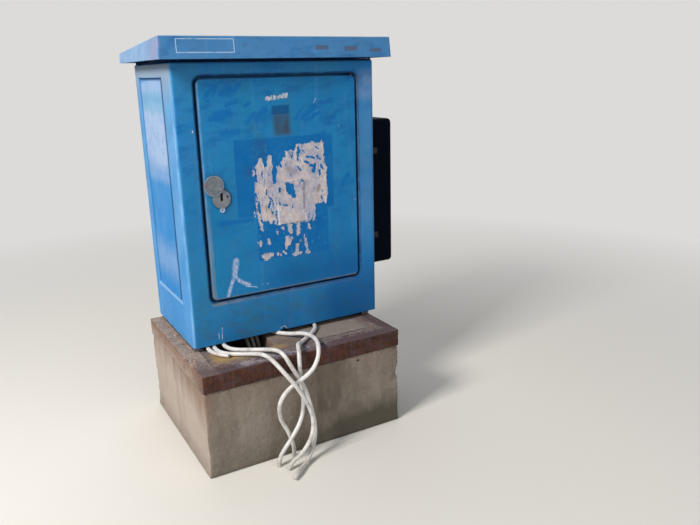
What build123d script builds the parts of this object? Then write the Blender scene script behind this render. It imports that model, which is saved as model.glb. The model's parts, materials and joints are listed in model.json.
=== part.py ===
from build123d import *
import math
import os

os.makedirs("parts", exist_ok=True)

# Frame: origin at the centre of the plinth's underside, X along the front to the right, Y to the rear, Z up.
# Every length is in millimetres.

# Plinth
plinth_width = 540.0
plinth_depth = 460.0
plinth_height = 265.0
plinth_edge_radius = 4.0
shaft_left = -182.0
shaft_right = -48.0
shaft_front = -140.0
shaft_rear = 110.0
angle_leg = 45.0
angle_thickness = 5.0

# Cabinet shell, set on packers and held by anchor bolts
packer_height = 13.0
packer_width = 20.0
packer_end_margin = 12.0
left_overhang = 28.5
shell_width = 530.0
shell_depth = 320.0
shell_height = 677.0
shell_wall = 5.0
shell_corner_radius = 10.0
shell_edge_radius = 4.0
side_flange = 42.0
front_flange = 25.0
recess_depth = 5.0
recess_draft = 25.0
recess_corner_radius = 5.0
recess_front_margin = 65.0
recess_rear_margin = 39.0
recess_bottom_margin = 103.0
recess_top_margin = 31.0
anchor_from_left = 14.5
anchor_from_right = 29.0
anchor_from_front = 50.0
anchor_from_rear = 40.0
anchor_radius = 4.0
anchor_depth = 60.0
anchor_fit = 0.1
flange_hole_radius = 4.6
washer_radius = 8.0
washer_thickness = 1.6
bolt_head_radius = 7.0
bolt_head_height = 5.3
chip_middle = 1.0
chip_width = 14.0
chip_height = 8.0

# Door opening, gasket and door
opening_left_margin = 52.2
opening_right_margin = 50.2
opening_bottom_margin = 108.0
opening_top_margin = 30.7
opening_corner_radius = 18.0
opening_edge_radius = 4.0
lip_width = 24.0
lip_thickness = 4.0
lip_setback = 24.0
gasket_width = 7.5
gasket_thickness = 3.7
gasket_edge = 0.25
door_gap = 6.0
door_depth = 16.0
door_wall = 4.0
door_edge_radius = 3.0
seal_rib_inset = 12.0
seal_rib_thickness = 4.0
seal_rib_depth = 20.0
stiffener_depth = 12.0
stiffener_heights = (128.0, 378.0)

# Concealed hinge: pins in the door's lugs, bushes in the shell
hinge_inset = 8.5
hinge_depth = 7.5
pin_radius = 2.5
running_fit = 0.05
lug_height = 22.0
bush_radius = 5.0
running_gap = 0.3

# Lock
lock_from_left = 98.5
lock_from_bottom = 364.0
escutcheon_radius = 22.5
escutcheon_thickness = 2.5
tab_width = 12.0
tab_reach = 33.0
tab_hole_radius = 2.2
screw_hole_radius = 1.7
screw_hole_offset = (14.5, 4.7)
disc_radius = 24.5
disc_thickness = 1.5
disc_arm = 19.8
disc_rest_angle = 119.0
disc_pivot_rise = 23.0
rivet_radius = 2.5
rivet_head_radius = 4.6
rivet_head_height = 2.0
rivet_tail_radius = 3.6
key_slot_width = 7.0
key_slot_height = 22.0
key_slot_rise = 5.0
key_slot_depth = 16.0
spindle_radius = 12.5
lock_case_width = 40.0
lock_case_height = 60.0
lock_case_depth = 16.0
cam_radius = 16.0
cam_thickness = 3.0
cam_pin_circle = 12.7
cam_pin_radius = 2.5
cam_half_turn = 45.0
rod_thickness = 4.0
rod_width = 12.0
rod_offset = 11.0
rod_clearance = 1.0
rod_retraction = 3.0
rod_slot_play = 0.45
rod_plate_wall = 3.0
rod_fit = 0.25
guide_width = 17.0
guide_height = 20.0
guide_back = 4.0
guide_from_edge = 30.0

# Roof cap and vent collar
roof_side_overhang = 32.0
roof_front_overhang = 38.0
roof_rear_overhang = 16.0
roof_clearance = 6.0
roof_front_height = 49.0
roof_rear_height = 24.0
roof_wall = 4.0
roof_draft = 4.0
roof_corner_radius = 7.0
roof_edge_radius = 3.0
collar_inset = 40.0
collar_wall = 4.0
collar_top_gap = 1.0
vent_hole_margin = 30.0
vent_slot_length = 26.0
vent_slot_height = 8.0
vent_slot_rise = 9.0
vent_slot_pitch = 42.0
vent_slots_wide = 9
vent_slots_deep = 4
collar_lug = 24.0
collar_lug_thickness = 4.0
collar_lug_rise = 18.0
boss_radius = 7.0
roof_screw_radius = 2.5
roof_screw_reach = 5.0
roof_screw_head_radius = 5.0
roof_screw_head_height = 3.5

# Cables, clamps and the rail that carries them
cable_diameter = 10.5
bend_share = 0.45
cable_row = 30.0
cable_exit_height = 368.0
clamp_width = 13.6
clamp_depth = 20.0
clamp_height = 14.0
clamp_bore_clearance = 0.1
clamp_rail_depth = 18.0
clamp_rail_height = 24.0
clamp_rail_wall = 2.0
rail_bracket_size = 40.0
rail_bracket_thickness = 3.0

# Gear inside
plate_width = 460.0
plate_height = 380.0
plate_from_bottom = 245.0
plate_thickness = 3.0
plate_standoff = 20.0
standoff_radius = 6.0
standoff_margin = 20.0
din_rail_height = 35.0
din_rail_crown = 27.0
din_rail_depth = 7.5
din_rail_wall = 1.2
rail_end_margin = 15.0
breaker_row = 505.0
terminal_row = 285.0
bar_row = 395.0
breaker_count = 4
breaker_width = 17.5
breaker_pitch = 18.0
breaker_from_rail_end = 231.5
breaker_height = 85.0
breaker_body_depth = 38.0
breaker_nose_depth = 20.0
breaker_nose_height = 45.0
device_back_gap = 1.0
toggle_hub_radius = 6.0
toggle_hub_sink = 3.0
toggle_width = 8.0
toggle_reach = 14.0
toggle_thickness = 3.0
toggle_angle = 40.0
switch_from_rail_end = 96.5
switch_width = 72.0
switch_depth = 46.0
handle_radius = 18.0
handle_thickness = 6.0
handle_rim = 1.0
handle_grip_width = 9.0
handle_grip_depth = 14.0
handle_shaft_radius = 4.0
handle_shaft_length = 12.0
terminal_count = 36
terminal_pitch = 8.0
terminal_gap = 0.6
terminal_from_rail_end = 13.5
terminal_height = 48.0
terminal_depth = 40.0
terminal_nose_height = 22.0
bars_from_rail_end = (96.5, 286.5)
bar_length = 140.0
bar_height = 12.0
bar_thickness = 6.0
bar_support_width = 12.0
bar_support_depth = 16.0
bar_screw_count = 6
bar_screw_radius = 3.4
bar_screw_head = 1.8

# Side box on the right wall
box_depth = 200.0
box_height = 408.0
box_base_thickness = 55.0
box_cover_thickness = 41.0
box_front_setback = 60.0
box_bottom_margin = 115.0
box_wall = 3.0
box_corner_radius = 12.0
box_cover_radius = 16.0
bracket_thickness = 3.0
bracket_reach = 45.0
bracket_foot = 25.0
bracket_height = 16.0
bracket_margin = 85.0
box_screw_radius = 4.0
box_screw_height = 2.5
box_screw_inset = 26.0

# Places worked out from the sizes above
shell_bottom = plinth_height + packer_height
shell_top = shell_bottom + shell_height
shell_left = -plinth_width / 2 + left_overhang
shell_right = shell_left + shell_width
shell_rear = plinth_depth / 2
shell_front = shell_rear - shell_depth
shell_middle = ((shell_left + shell_right) / 2, (shell_front + shell_rear) / 2)
floor_top = shell_bottom + shell_wall

recess_middle_y = (shell_front + recess_front_margin + shell_rear - recess_rear_margin) / 2
recess_middle_z = (shell_bottom + recess_bottom_margin + shell_top - recess_top_margin) / 2
recess_width = shell_depth - recess_front_margin - recess_rear_margin
recess_height = shell_height - recess_bottom_margin - recess_top_margin
inner_left = shell_left + shell_wall + recess_depth
inner_right = shell_right - shell_wall - recess_depth

opening_left = shell_left + opening_left_margin
opening_right = shell_right - opening_right_margin
opening_bottom = shell_bottom + opening_bottom_margin
opening_top = shell_top - opening_top_margin
opening_width = opening_right - opening_left
opening_height = opening_top - opening_bottom
opening_middle = ((opening_left + opening_right) / 2, (opening_bottom + opening_top) / 2)
lip_front = shell_front + lip_setback
lip_rear = lip_front + lip_thickness

door_right = opening_right - door_gap
door_bottom = opening_bottom + door_gap
door_top = opening_top - door_gap
door_width = opening_width - 2 * door_gap
door_height = opening_height - 2 * door_gap
door_corner_radius = opening_corner_radius - door_gap
door_rear = shell_front + door_depth
door_skin = shell_front + door_wall
hinge_x = door_right - hinge_inset
hinge_y = shell_front + hinge_depth

lock_x = shell_left + lock_from_left
lock_z = shell_bottom + lock_from_bottom
spindle_z = lock_z + key_slot_rise
disc_pivot_z = lock_z + disc_pivot_rise
escutcheon_front = shell_front - escutcheon_thickness
disc_back = escutcheon_front - running_gap
disc_front = disc_back - disc_thickness
case_rear = door_skin + lock_case_depth
cam_front = case_rear + running_gap
cam_rear = cam_front + cam_thickness
rod_front = lip_rear + rod_clearance
rod_rear = rod_front + rod_thickness
cam_pin_shift = cam_pin_circle * math.sin(math.radians(cam_half_turn))
rod_travel = 2 * cam_pin_shift

roof_bottom = shell_top + roof_clearance
roof_front = shell_front - roof_front_overhang
roof_rear = shell_rear + roof_rear_overhang
roof_width = shell_width + 2 * roof_side_overhang
roof_depth = roof_rear - roof_front
roof_middle = (shell_middle[0], (roof_front + roof_rear) / 2)
roof_slope = (roof_front_height - roof_rear_height) / roof_depth

plate_front = shell_rear - shell_wall - plate_standoff - plate_thickness
plate_middle = (shell_middle[0], shell_bottom + plate_from_bottom + plate_height / 2)
din_rail_front = plate_front - din_rail_depth
din_rail_length = plate_width - 2 * rail_end_margin
rail_end = shell_middle[0] - din_rail_length / 2
breaker_first = rail_end + breaker_from_rail_end
switch_middle = rail_end + switch_from_rail_end
terminal_first = rail_end + terminal_from_rail_end
bar_middles = [rail_end + place for place in bars_from_rail_end]
breaker_z = shell_bottom + breaker_row
terminal_z = shell_bottom + terminal_row
bar_z = shell_bottom + bar_row

box_front = shell_front + box_front_setback
box_rear = box_front + box_depth
box_middle_y = (box_front + box_rear) / 2
box_middle_z = shell_bottom + box_bottom_margin + box_height / 2
box_seam = shell_right + box_base_thickness


def front_view(y):
    """A sketch plane at depth y seen from the front, x to the right and z up; it extrudes forwards."""
    return Plane.XZ.offset(-y)


def side_view(x):
    """A sketch plane at width x seen from the right, y to the right and z up; it extrudes to the right."""
    return Plane.YZ.offset(x)


def roof_top_at(y):
    """Height of the roof's sloped top face at depth y."""
    return roof_bottom + roof_front_height - roof_slope * (y - roof_front)


def save(piece, name):
    """Labels a finished piece and writes it."""
    piece.part.label = name
    export_step(piece.part, "parts/" + name + ".step")


# Plinth block: cast concrete with a cable shaft, rebated for the steel angle
anchor_places = [
    (x, y)
    for x in (shell_left + anchor_from_left, shell_right - anchor_from_right)
    for y in (shell_front + anchor_from_front, shell_rear - anchor_from_rear)
]
with BuildPart() as plinth_block:
    with BuildSketch(Plane.XY):
        RectangleRounded(plinth_width, plinth_depth, plinth_edge_radius)
        with Locations(((shaft_left + shaft_right) / 2, (shaft_front + shaft_rear) / 2)):
            Rectangle(shaft_right - shaft_left, shaft_rear - shaft_front, mode=Mode.SUBTRACT)
    extrude(amount=plinth_height)
    with BuildSketch(Plane.XY.offset(plinth_height)):
        Rectangle(plinth_width, plinth_depth)
        Rectangle(plinth_width - 2 * angle_thickness, plinth_depth - 2 * angle_thickness, mode=Mode.SUBTRACT)
    extrude(amount=-angle_leg, mode=Mode.SUBTRACT)
    with BuildSketch(Plane.XY.offset(plinth_height)):
        Rectangle(plinth_width, plinth_depth)
        Rectangle(plinth_width - 2 * angle_leg, plinth_depth - 2 * angle_leg, mode=Mode.SUBTRACT)
    extrude(amount=-angle_thickness, mode=Mode.SUBTRACT)
    with BuildSketch(Plane.XY.offset(plinth_height)):
        with Locations(*anchor_places):
            Circle(anchor_radius + anchor_fit)
    extrude(amount=-anchor_depth, mode=Mode.SUBTRACT)
save(plinth_block, "plinth_block")

# Angle frame: rolled steel angle, mitred and welded into a ring round the plinth's top edge
with BuildPart() as plinth_angle_frame:
    with BuildSketch(Plane.XY.offset(plinth_height)):
        RectangleRounded(plinth_width, plinth_depth, plinth_edge_radius)
        Rectangle(plinth_width - 2 * angle_thickness, plinth_depth - 2 * angle_thickness, mode=Mode.SUBTRACT)
    extrude(amount=-angle_leg)
    with BuildSketch(Plane.XY.offset(plinth_height)):
        RectangleRounded(plinth_width, plinth_depth, plinth_edge_radius)
        Rectangle(plinth_width - 2 * angle_leg, plinth_depth - 2 * angle_leg, mode=Mode.SUBTRACT)
        with Locations(*anchor_places):
            Circle(anchor_radius + anchor_fit, mode=Mode.SUBTRACT)
    extrude(amount=-angle_thickness)
save(plinth_angle_frame, "plinth_angle_frame")

# Packers: two strips under the shell's side flanges
packer_length = shell_depth - 2 * packer_end_margin
with BuildPart() as packers:
    with BuildSketch(Plane.XY.offset(plinth_height)):
        with Locations(
            (shell_left + anchor_from_left, shell_middle[1]),
            (shell_right - anchor_from_right, shell_middle[1]),
        ):
            Rectangle(packer_width, packer_length)
        with Locations(*anchor_places):
            Circle(flange_hole_radius, mode=Mode.SUBTRACT)
    extrude(amount=packer_height)
save(packers, "packers")

# Anchor bolts: shank, washer and hexagon head
with BuildPart() as anchor_bolts:
    with BuildSketch(Plane.XY.offset(plinth_height - anchor_depth)):
        with Locations(*anchor_places):
            Circle(anchor_radius)
    extrude(amount=anchor_depth + packer_height + shell_wall)
    with BuildSketch(Plane.XY.offset(floor_top)):
        with Locations(*anchor_places):
            Circle(washer_radius)
    extrude(amount=washer_thickness)
    with BuildSketch(Plane.XY.offset(floor_top + washer_thickness)):
        with Locations(*anchor_places):
            RegularPolygon(bolt_head_radius, 6)
    extrude(amount=bolt_head_height)
save(anchor_bolts, "anchor_bolts")

# Side recess of the shell: the hollow outside, and the pad that keeps the wall whole behind it
with BuildPart() as side_recess:
    with BuildSketch(side_view(shell_left)):
        with Locations((recess_middle_y, recess_middle_z)):
            RectangleRounded(recess_width, recess_height, recess_corner_radius)
    extrude(amount=recess_depth, taper=recess_draft)
with BuildPart() as side_pad:
    with BuildSketch(side_view(shell_left + shell_wall)):
        with Locations((recess_middle_y, recess_middle_z)):
            RectangleRounded(
                recess_width + 2 * shell_wall,
                recess_height + 2 * shell_wall,
                recess_corner_radius + shell_wall,
            )
    extrude(amount=recess_depth, taper=recess_draft)
right_side = Plane.YZ.offset(shell_middle[0])

# Cabinet shell: one moulding with a rebated door opening, an open floor and a vent hole in its top
collar_middle = shell_middle
collar_width = shell_width - 2 * collar_inset
collar_depth = shell_depth - 2 * collar_inset
with BuildPart() as cabinet_shell:
    with BuildSketch(Plane.XY.offset(shell_bottom)):
        with Locations(shell_middle):
            RectangleRounded(shell_width, shell_depth, shell_corner_radius)
    extrude(amount=shell_height)
    fillet(cabinet_shell.faces().sort_by(Axis.Z)[-1].edges(), shell_edge_radius)
    with BuildSketch(Plane.XY.offset(floor_top)):
        with Locations(shell_middle):
            RectangleRounded(
                shell_width - 2 * shell_wall,
                shell_depth - 2 * shell_wall,
                shell_corner_radius - shell_wall,
            )
    extrude(amount=shell_height - 2 * shell_wall, mode=Mode.SUBTRACT)
    add(side_pad.part)
    add(side_pad.part.mirror(right_side))
    add(side_recess.part, mode=Mode.SUBTRACT)
    add(side_recess.part.mirror(right_side), mode=Mode.SUBTRACT)
    # the return round the door opening and the lip that the gasket sits on
    with BuildSketch(front_view(lip_rear)):
        with Locations(opening_middle):
            RectangleRounded(
                opening_width + 2 * shell_wall,
                opening_height + 2 * shell_wall,
                opening_corner_radius + shell_wall,
            )
    extrude(amount=lip_rear - shell_front - shell_edge_radius / 2)
    with BuildSketch(front_view(lip_front)):
        with Locations(opening_middle):
            RectangleRounded(opening_width, opening_height, opening_corner_radius)
    extrude(amount=lip_setback, mode=Mode.SUBTRACT)
    front_face = cabinet_shell.faces().sort_by(Axis.Y)[0]
    fillet(front_face.inner_wires()[0].edges(), opening_edge_radius)
    with BuildSketch(front_view(lip_rear)):
        with Locations(opening_middle):
            RectangleRounded(opening_width - 2 * lip_width, opening_height - 2 * lip_width, door_gap)
    extrude(amount=lip_thickness, mode=Mode.SUBTRACT)
    # holes: cable entry, vent, anchors and hinge bushes
    with BuildSketch(Plane.XY.offset(shell_bottom)):
        with Locations(shell_middle):
            Rectangle(shell_width - 2 * side_flange, shell_depth - 2 * front_flange)
        with Locations(*anchor_places):
            Circle(flange_hole_radius)
    extrude(amount=shell_wall, mode=Mode.SUBTRACT)
    with BuildSketch(Plane.XY.offset(shell_top)):
        with Locations(collar_middle):
            Rectangle(collar_width - 2 * vent_hole_margin, collar_depth - 2 * vent_hole_margin)
    extrude(amount=-shell_wall, mode=Mode.SUBTRACT)
    with BuildSketch(Plane.XY.offset(door_top), Plane.XY.offset(opening_bottom - shell_wall)):
        with Locations((hinge_x, hinge_y)):
            Circle(bush_radius + running_fit)
    extrude(amount=shell_wall + door_gap, mode=Mode.SUBTRACT)
    # a chip broken out of the front wall's lower edge
    with BuildSketch(front_view(shell_front)):
        with BuildLine():
            Polyline(
                (chip_middle - chip_width / 2, shell_bottom),
                (chip_middle - chip_width / 5, shell_bottom + 0.7 * chip_height),
                (chip_middle + chip_width / 8, shell_bottom + chip_height),
                (chip_middle + chip_width / 2, shell_bottom),
                close=True,
            )
        make_face()
    extrude(amount=-shell_wall, mode=Mode.SUBTRACT)
save(cabinet_shell, "cabinet_shell")

# Vent collar: a slotted frame on the shell's top, with a lug in each corner for the roof
collar_left = shell_middle[0] - collar_width / 2
collar_front = shell_middle[1] - collar_depth / 2
lug_top = shell_top + collar_lug_rise + collar_lug_thickness
lug_inset = collar_wall + collar_lug / 2
lug_spacing = (collar_width - 2 * lug_inset, collar_depth - 2 * lug_inset)
collar_top = Plane(
    origin=(0, roof_front, roof_top_at(roof_front) - roof_wall - collar_top_gap),
    x_dir=(1, 0, 0),
    z_dir=(0, roof_slope, 1),
)
with BuildPart() as vent_collar:
    with BuildSketch(Plane.XY.offset(shell_top)):
        with Locations(collar_middle):
            Rectangle(collar_width, collar_depth)
            Rectangle(collar_width - 2 * collar_wall, collar_depth - 2 * collar_wall, mode=Mode.SUBTRACT)
    extrude(amount=roof_clearance + roof_front_height)
    split(bisect_by=collar_top, keep=Keep.BOTTOM)
    with BuildSketch(front_view(collar_front)):
        with Locations((shell_middle[0], shell_top + vent_slot_rise)):
            with GridLocations(vent_slot_pitch, vent_slot_height, vent_slots_wide, 1):
                SlotOverall(vent_slot_length, vent_slot_height)
    extrude(amount=-collar_depth, mode=Mode.SUBTRACT)
    with BuildSketch(side_view(collar_left)):
        with Locations((shell_middle[1], shell_top + vent_slot_rise)):
            with GridLocations(vent_slot_pitch, vent_slot_height, vent_slots_deep, 1):
                SlotOverall(vent_slot_length, vent_slot_height)
    extrude(amount=collar_width, mode=Mode.SUBTRACT)
    with BuildSketch(Plane.XY.offset(lug_top)):
        with Locations(collar_middle):
            with GridLocations(*lug_spacing, 2, 2):
                Rectangle(collar_lug, collar_lug)
                Circle(roof_screw_radius + anchor_fit, mode=Mode.SUBTRACT)
    extrude(amount=-collar_lug_thickness)
save(vent_collar, "vent_collar")

# Roof cap: a drafted hood with a sloped top, open below, with four bosses that stand on the collar's lugs
roof_top = Plane(
    origin=(0, roof_front, roof_top_at(roof_front)), x_dir=(1, 0, 0), z_dir=(0, roof_slope, 1)
)
roof_places = [
    (shell_middle[0] + side * lug_spacing[0] / 2, shell_middle[1] + end * lug_spacing[1] / 2)
    for side in (-1, 1)
    for end in (-1, 1)
]
with BuildPart() as roof_cap:
    with BuildSketch(Plane.XY.offset(roof_bottom)):
        with Locations(roof_middle):
            RectangleRounded(roof_width, roof_depth, roof_corner_radius)
    extrude(
        amount=roof_front_height + roof_edge_radius,
        taper=math.degrees(math.atan2(roof_draft, roof_front_height)),
    )
    split(bisect_by=roof_top, keep=Keep.BOTTOM)
    fillet(roof_cap.faces().sort_by(Axis.Z)[-1].edges(), roof_edge_radius)
    offset(amount=-roof_wall, openings=roof_cap.faces().sort_by(Axis.Z)[0])
    for place in roof_places:
        boss_height = roof_top_at(place[1]) - roof_wall / 2 - lug_top
        with BuildSketch(Plane.XY.offset(lug_top)):
            with Locations(place):
                Circle(boss_radius)
        extrude(amount=boss_height)
    with BuildSketch(Plane.XY.offset(lug_top)):
        with Locations(*roof_places):
            Circle(roof_screw_radius + running_fit)
    extrude(amount=roof_screw_reach + anchor_fit, mode=Mode.SUBTRACT)
save(roof_cap, "roof_cap")

# Roof screws, driven up through the lugs into the bosses
with BuildPart() as roof_screws:
    with BuildSketch(Plane.XY.offset(lug_top - collar_lug_thickness)):
        with Locations(*roof_places):
            Circle(roof_screw_radius)
    extrude(amount=collar_lug_thickness + roof_screw_reach)
    with BuildSketch(Plane.XY.offset(lug_top - collar_lug_thickness)):
        with Locations(*roof_places):
            RegularPolygon(roof_screw_head_radius, 6)
    extrude(amount=-roof_screw_head_height)
save(roof_screws, "roof_screws")

# Door gasket, stuck to the lip opposite the door's sealing rib
with BuildPart() as door_gasket:
    with BuildSketch(front_view(lip_front)):
        with Locations(opening_middle):
            RectangleRounded(
                opening_width - 2 * (lip_width - gasket_width - gasket_edge),
                opening_height - 2 * (lip_width - gasket_width - gasket_edge),
                door_gap + gasket_width,
            )
            RectangleRounded(
                opening_width - 2 * (lip_width - gasket_edge),
                opening_height - 2 * (lip_width - gasket_edge),
                door_gap,
                mode=Mode.SUBTRACT,
            )
    extrude(amount=gasket_thickness)
save(door_gasket, "door_gasket")

# Hinge bushes, through the shell's return and across the gap to the door; the lower one carries it
with BuildPart() as hinge_bushes:
    with BuildSketch(
        Plane.XY.offset(door_top + running_gap), Plane.XY.offset(opening_bottom - shell_wall)
    ):
        with Locations((hinge_x, hinge_y)):
            Circle(bush_radius)
            Circle(pin_radius + running_fit, mode=Mode.SUBTRACT)
    extrude(amount=shell_wall + door_gap - running_gap)
save(hinge_bushes, "hinge_bushes")

# Door: a dished moulding with a rounded front edge, a sealing rib and two stiffeners behind
seal_width = door_width - 2 * seal_rib_inset
seal_height = door_height - 2 * seal_rib_inset
with BuildPart() as door_panel:
    with BuildSketch(front_view(door_rear)):
        with Locations(opening_middle):
            RectangleRounded(door_width, door_height, door_corner_radius)
    extrude(amount=door_depth)
    fillet(door_panel.faces().sort_by(Axis.Y)[0].edges(), door_edge_radius)
    with BuildSketch(front_view(door_rear)):
        with Locations(opening_middle):
            RectangleRounded(
                door_width - 2 * door_wall, door_height - 2 * door_wall, door_corner_radius - door_wall
            )
    extrude(amount=door_depth - door_wall, mode=Mode.SUBTRACT)
    with BuildSketch(front_view(shell_front + seal_rib_depth)):
        with Locations(opening_middle):
            RectangleRounded(seal_width, seal_height, door_gap)
            Rectangle(
                seal_width - 2 * seal_rib_thickness, seal_height - 2 * seal_rib_thickness, mode=Mode.SUBTRACT
            )
    extrude(amount=seal_rib_depth - door_wall)
    with BuildSketch(front_view(shell_front + stiffener_depth)):
        for height in stiffener_heights:
            with Locations((opening_middle[0], door_bottom + height)):
                Rectangle(seal_width - 2 * seal_rib_thickness, door_wall)
    extrude(amount=stiffener_depth - door_wall)
    with BuildSketch(front_view(shell_front)):
        with Locations((lock_x, spindle_z)):
            Circle(spindle_radius + running_gap)
        with Locations((lock_x, disc_pivot_z)):
            Circle(rivet_radius + running_fit)
    extrude(amount=-door_wall, mode=Mode.SUBTRACT)
    with BuildSketch(Plane.XY.offset(door_top - door_wall - lug_height), Plane.XY.offset(door_bottom)):
        with Locations((hinge_x, hinge_y)):
            Circle(pin_radius + running_fit)
    extrude(amount=door_wall + lug_height, mode=Mode.SUBTRACT)
save(door_panel, "door_panel")

# Hinge lugs: steel blocks in the door's hinge corners, between its edge wall and its sealing rib
lug_width = seal_rib_inset - door_wall
lug_places = (door_top - door_wall - lug_height / 2, door_bottom + door_wall + lug_height / 2)
with BuildPart() as hinge_lugs:
    with BuildSketch(front_view(door_rear)):
        with Locations(*[(door_right - door_wall - lug_width / 2, z) for z in lug_places]):
            Rectangle(lug_width, lug_height)
        with Locations(opening_middle):
            RectangleRounded(
                door_width - 2 * door_wall,
                door_height - 2 * door_wall,
                door_corner_radius - door_wall,
                mode=Mode.INTERSECT,
            )
    extrude(amount=door_depth - door_wall)
    with BuildSketch(
        Plane.XY.offset(door_top - door_wall - lug_height), Plane.XY.offset(door_bottom + door_wall)
    ):
        with Locations((hinge_x, hinge_y)):
            Circle(pin_radius + running_fit)
    extrude(amount=lug_height, mode=Mode.SUBTRACT)
save(hinge_lugs, "hinge_lugs")

# Hinge pins, from the lugs across the gap into the bushes
pin_length = lug_height + door_wall + door_gap + shell_wall
with BuildPart() as hinge_pins:
    with BuildSketch(
        Plane.XY.offset(door_top - door_wall - lug_height), Plane.XY.offset(opening_bottom - shell_wall)
    ):
        with Locations((hinge_x, hinge_y)):
            Circle(pin_radius)
    extrude(amount=pin_length)
save(hinge_pins, "hinge_pins")

# Escutcheon: a round plate with an upper ear for the disc's rivet and a holed tab below
with BuildPart() as lock_escutcheon:
    with BuildSketch(front_view(shell_front)):
        with Locations((lock_x, lock_z)):
            Circle(escutcheon_radius)
            with Locations((0, disc_pivot_rise)):
                Circle(tab_width / 2)
            with Locations((0, -escutcheon_radius)):
                Rectangle(tab_width, 2 * (tab_reach - escutcheon_radius) - tab_width)
            with Locations((0, tab_width / 2 - tab_reach)):
                Circle(tab_width / 2)
                Circle(tab_hole_radius, mode=Mode.SUBTRACT)
            with Locations((0, key_slot_rise)):
                SlotOverall(key_slot_height, key_slot_width, rotation=90, mode=Mode.SUBTRACT)
            with Locations((0, disc_pivot_rise)):
                Circle(rivet_radius + running_fit, mode=Mode.SUBTRACT)
            with Locations(screw_hole_offset):
                Circle(screw_hole_radius, mode=Mode.SUBTRACT)
    extrude(amount=escutcheon_thickness)
save(lock_escutcheon, "lock_escutcheon")

# Cover disc, swung aside on its rivet
rest_turn = math.radians(disc_rest_angle)
disc_middle = (lock_x - disc_arm * math.sin(rest_turn), disc_pivot_z - disc_arm * math.cos(rest_turn))
with BuildPart() as lock_cover_disc:
    with BuildSketch(front_view(disc_back)):
        with Locations(disc_middle):
            Circle(disc_radius)
        with Locations((lock_x, disc_pivot_z)):
            Circle(rivet_radius + running_fit, mode=Mode.SUBTRACT)
    extrude(amount=disc_thickness)
    fillet(lock_cover_disc.faces().sort_by(Axis.Y)[0].edges(), disc_thickness / 3)
save(lock_cover_disc, "lock_cover_disc")

# Rivet through the disc, the escutcheon and the door's skin
head_back = disc_front - running_gap
with BuildPart() as lock_rivet:
    with BuildSketch(front_view(door_skin)):
        with Locations((lock_x, disc_pivot_z)):
            Circle(rivet_radius)
    extrude(amount=door_skin - head_back)
    with BuildSketch(front_view(head_back)):
        with Locations((lock_x, disc_pivot_z)):
            Circle(rivet_head_radius)
    extrude(amount=rivet_head_height)
    fillet(lock_rivet.faces().sort_by(Axis.Y)[0].edges(), 0.75 * rivet_head_height)
    with BuildSketch(front_view(door_skin)):
        with Locations((lock_x, disc_pivot_z)):
            Circle(rivet_tail_radius)
    extrude(amount=-rivet_head_height / 2)
save(lock_rivet, "lock_rivet")

# Lock case on the door's inner face
with BuildPart() as lock_case:
    with BuildSketch(front_view(case_rear)):
        with Locations((lock_x, spindle_z - key_slot_rise)):
            RectangleRounded(lock_case_width, lock_case_height, tab_width / 3)
        with Locations((lock_x, spindle_z)):
            Circle(spindle_radius + running_fit, mode=Mode.SUBTRACT)
        with Locations((lock_x, disc_pivot_z)):
            Circle(rivet_tail_radius + running_gap, mode=Mode.SUBTRACT)
    extrude(amount=lock_case_depth)
save(lock_case, "lock_case")

# Spindle: slotted barrel, cam and the two pins that drive the rods
with BuildPart() as lock_spindle:
    with BuildSketch(front_view(cam_rear)):
        with Locations((lock_x, spindle_z)):
            Circle(spindle_radius)
    extrude(amount=cam_rear - shell_front - running_gap)
    with BuildSketch(front_view(cam_rear)):
        with Locations((lock_x, spindle_z)):
            Circle(cam_radius)
    extrude(amount=cam_thickness)
    with BuildSketch(front_view(cam_rear)):
        with Locations(
            (lock_x + cam_pin_shift, spindle_z - cam_pin_shift),
            (lock_x - cam_pin_shift, spindle_z + cam_pin_shift),
        ):
            Circle(cam_pin_radius)
    extrude(amount=-(rod_rear + running_gap - cam_rear))
    with BuildSketch(front_view(shell_front + running_gap)):
        with Locations((lock_x, spindle_z)):
            SlotOverall(key_slot_height, key_slot_width, rotation=90)
    extrude(amount=-key_slot_depth, mode=Mode.SUBTRACT)
save(lock_spindle, "lock_spindle")

# Locking rods: a slotted plate that the cam's pin moves, and a flat bar with a bevelled tip
slot_near = cam_pin_shift - cam_pin_radius - running_gap
slot_far = cam_pin_circle + cam_pin_radius + running_gap
slot_height = 2 * (cam_pin_radius + rod_slot_play)
rod_plate_width = slot_far - slot_near + 2 * rod_plate_wall
rod_plate_height = slot_height + 2 * rod_plate_wall
rod_plate_middle = (slot_near + slot_far) / 2
rod_tips = (
    opening_top - lip_width - rod_retraction,
    opening_bottom + lip_width + rod_retraction,
)
for name, side, tip in (("upper_rod", 1, rod_tips[0]), ("lower_rod", -1, rod_tips[1])):
    plate_z = spindle_z - side * cam_pin_shift
    bar_middle = (plate_z + tip) / 2
    with BuildPart() as rod:
        with BuildSketch(front_view(rod_rear)):
            with Locations((lock_x + side * rod_plate_middle, plate_z)):
                Rectangle(rod_plate_width, rod_plate_height)
            with Locations((lock_x + side * rod_offset, bar_middle)):
                Rectangle(rod_width, abs(tip - plate_z))
            with Locations((lock_x + side * rod_plate_middle, plate_z)):
                Rectangle(slot_far - slot_near, slot_height, mode=Mode.SUBTRACT)
        extrude(amount=rod_thickness)
        tip_face = rod.faces().filter_by(Axis.Z).sort_by(Axis.Z)[-1 if side > 0 else 0]
        chamfer(tip_face.edges().filter_by(Axis.X).sort_by(Axis.Y)[-1], 0.6 * rod_thickness)
    save(rod, name)

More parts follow.
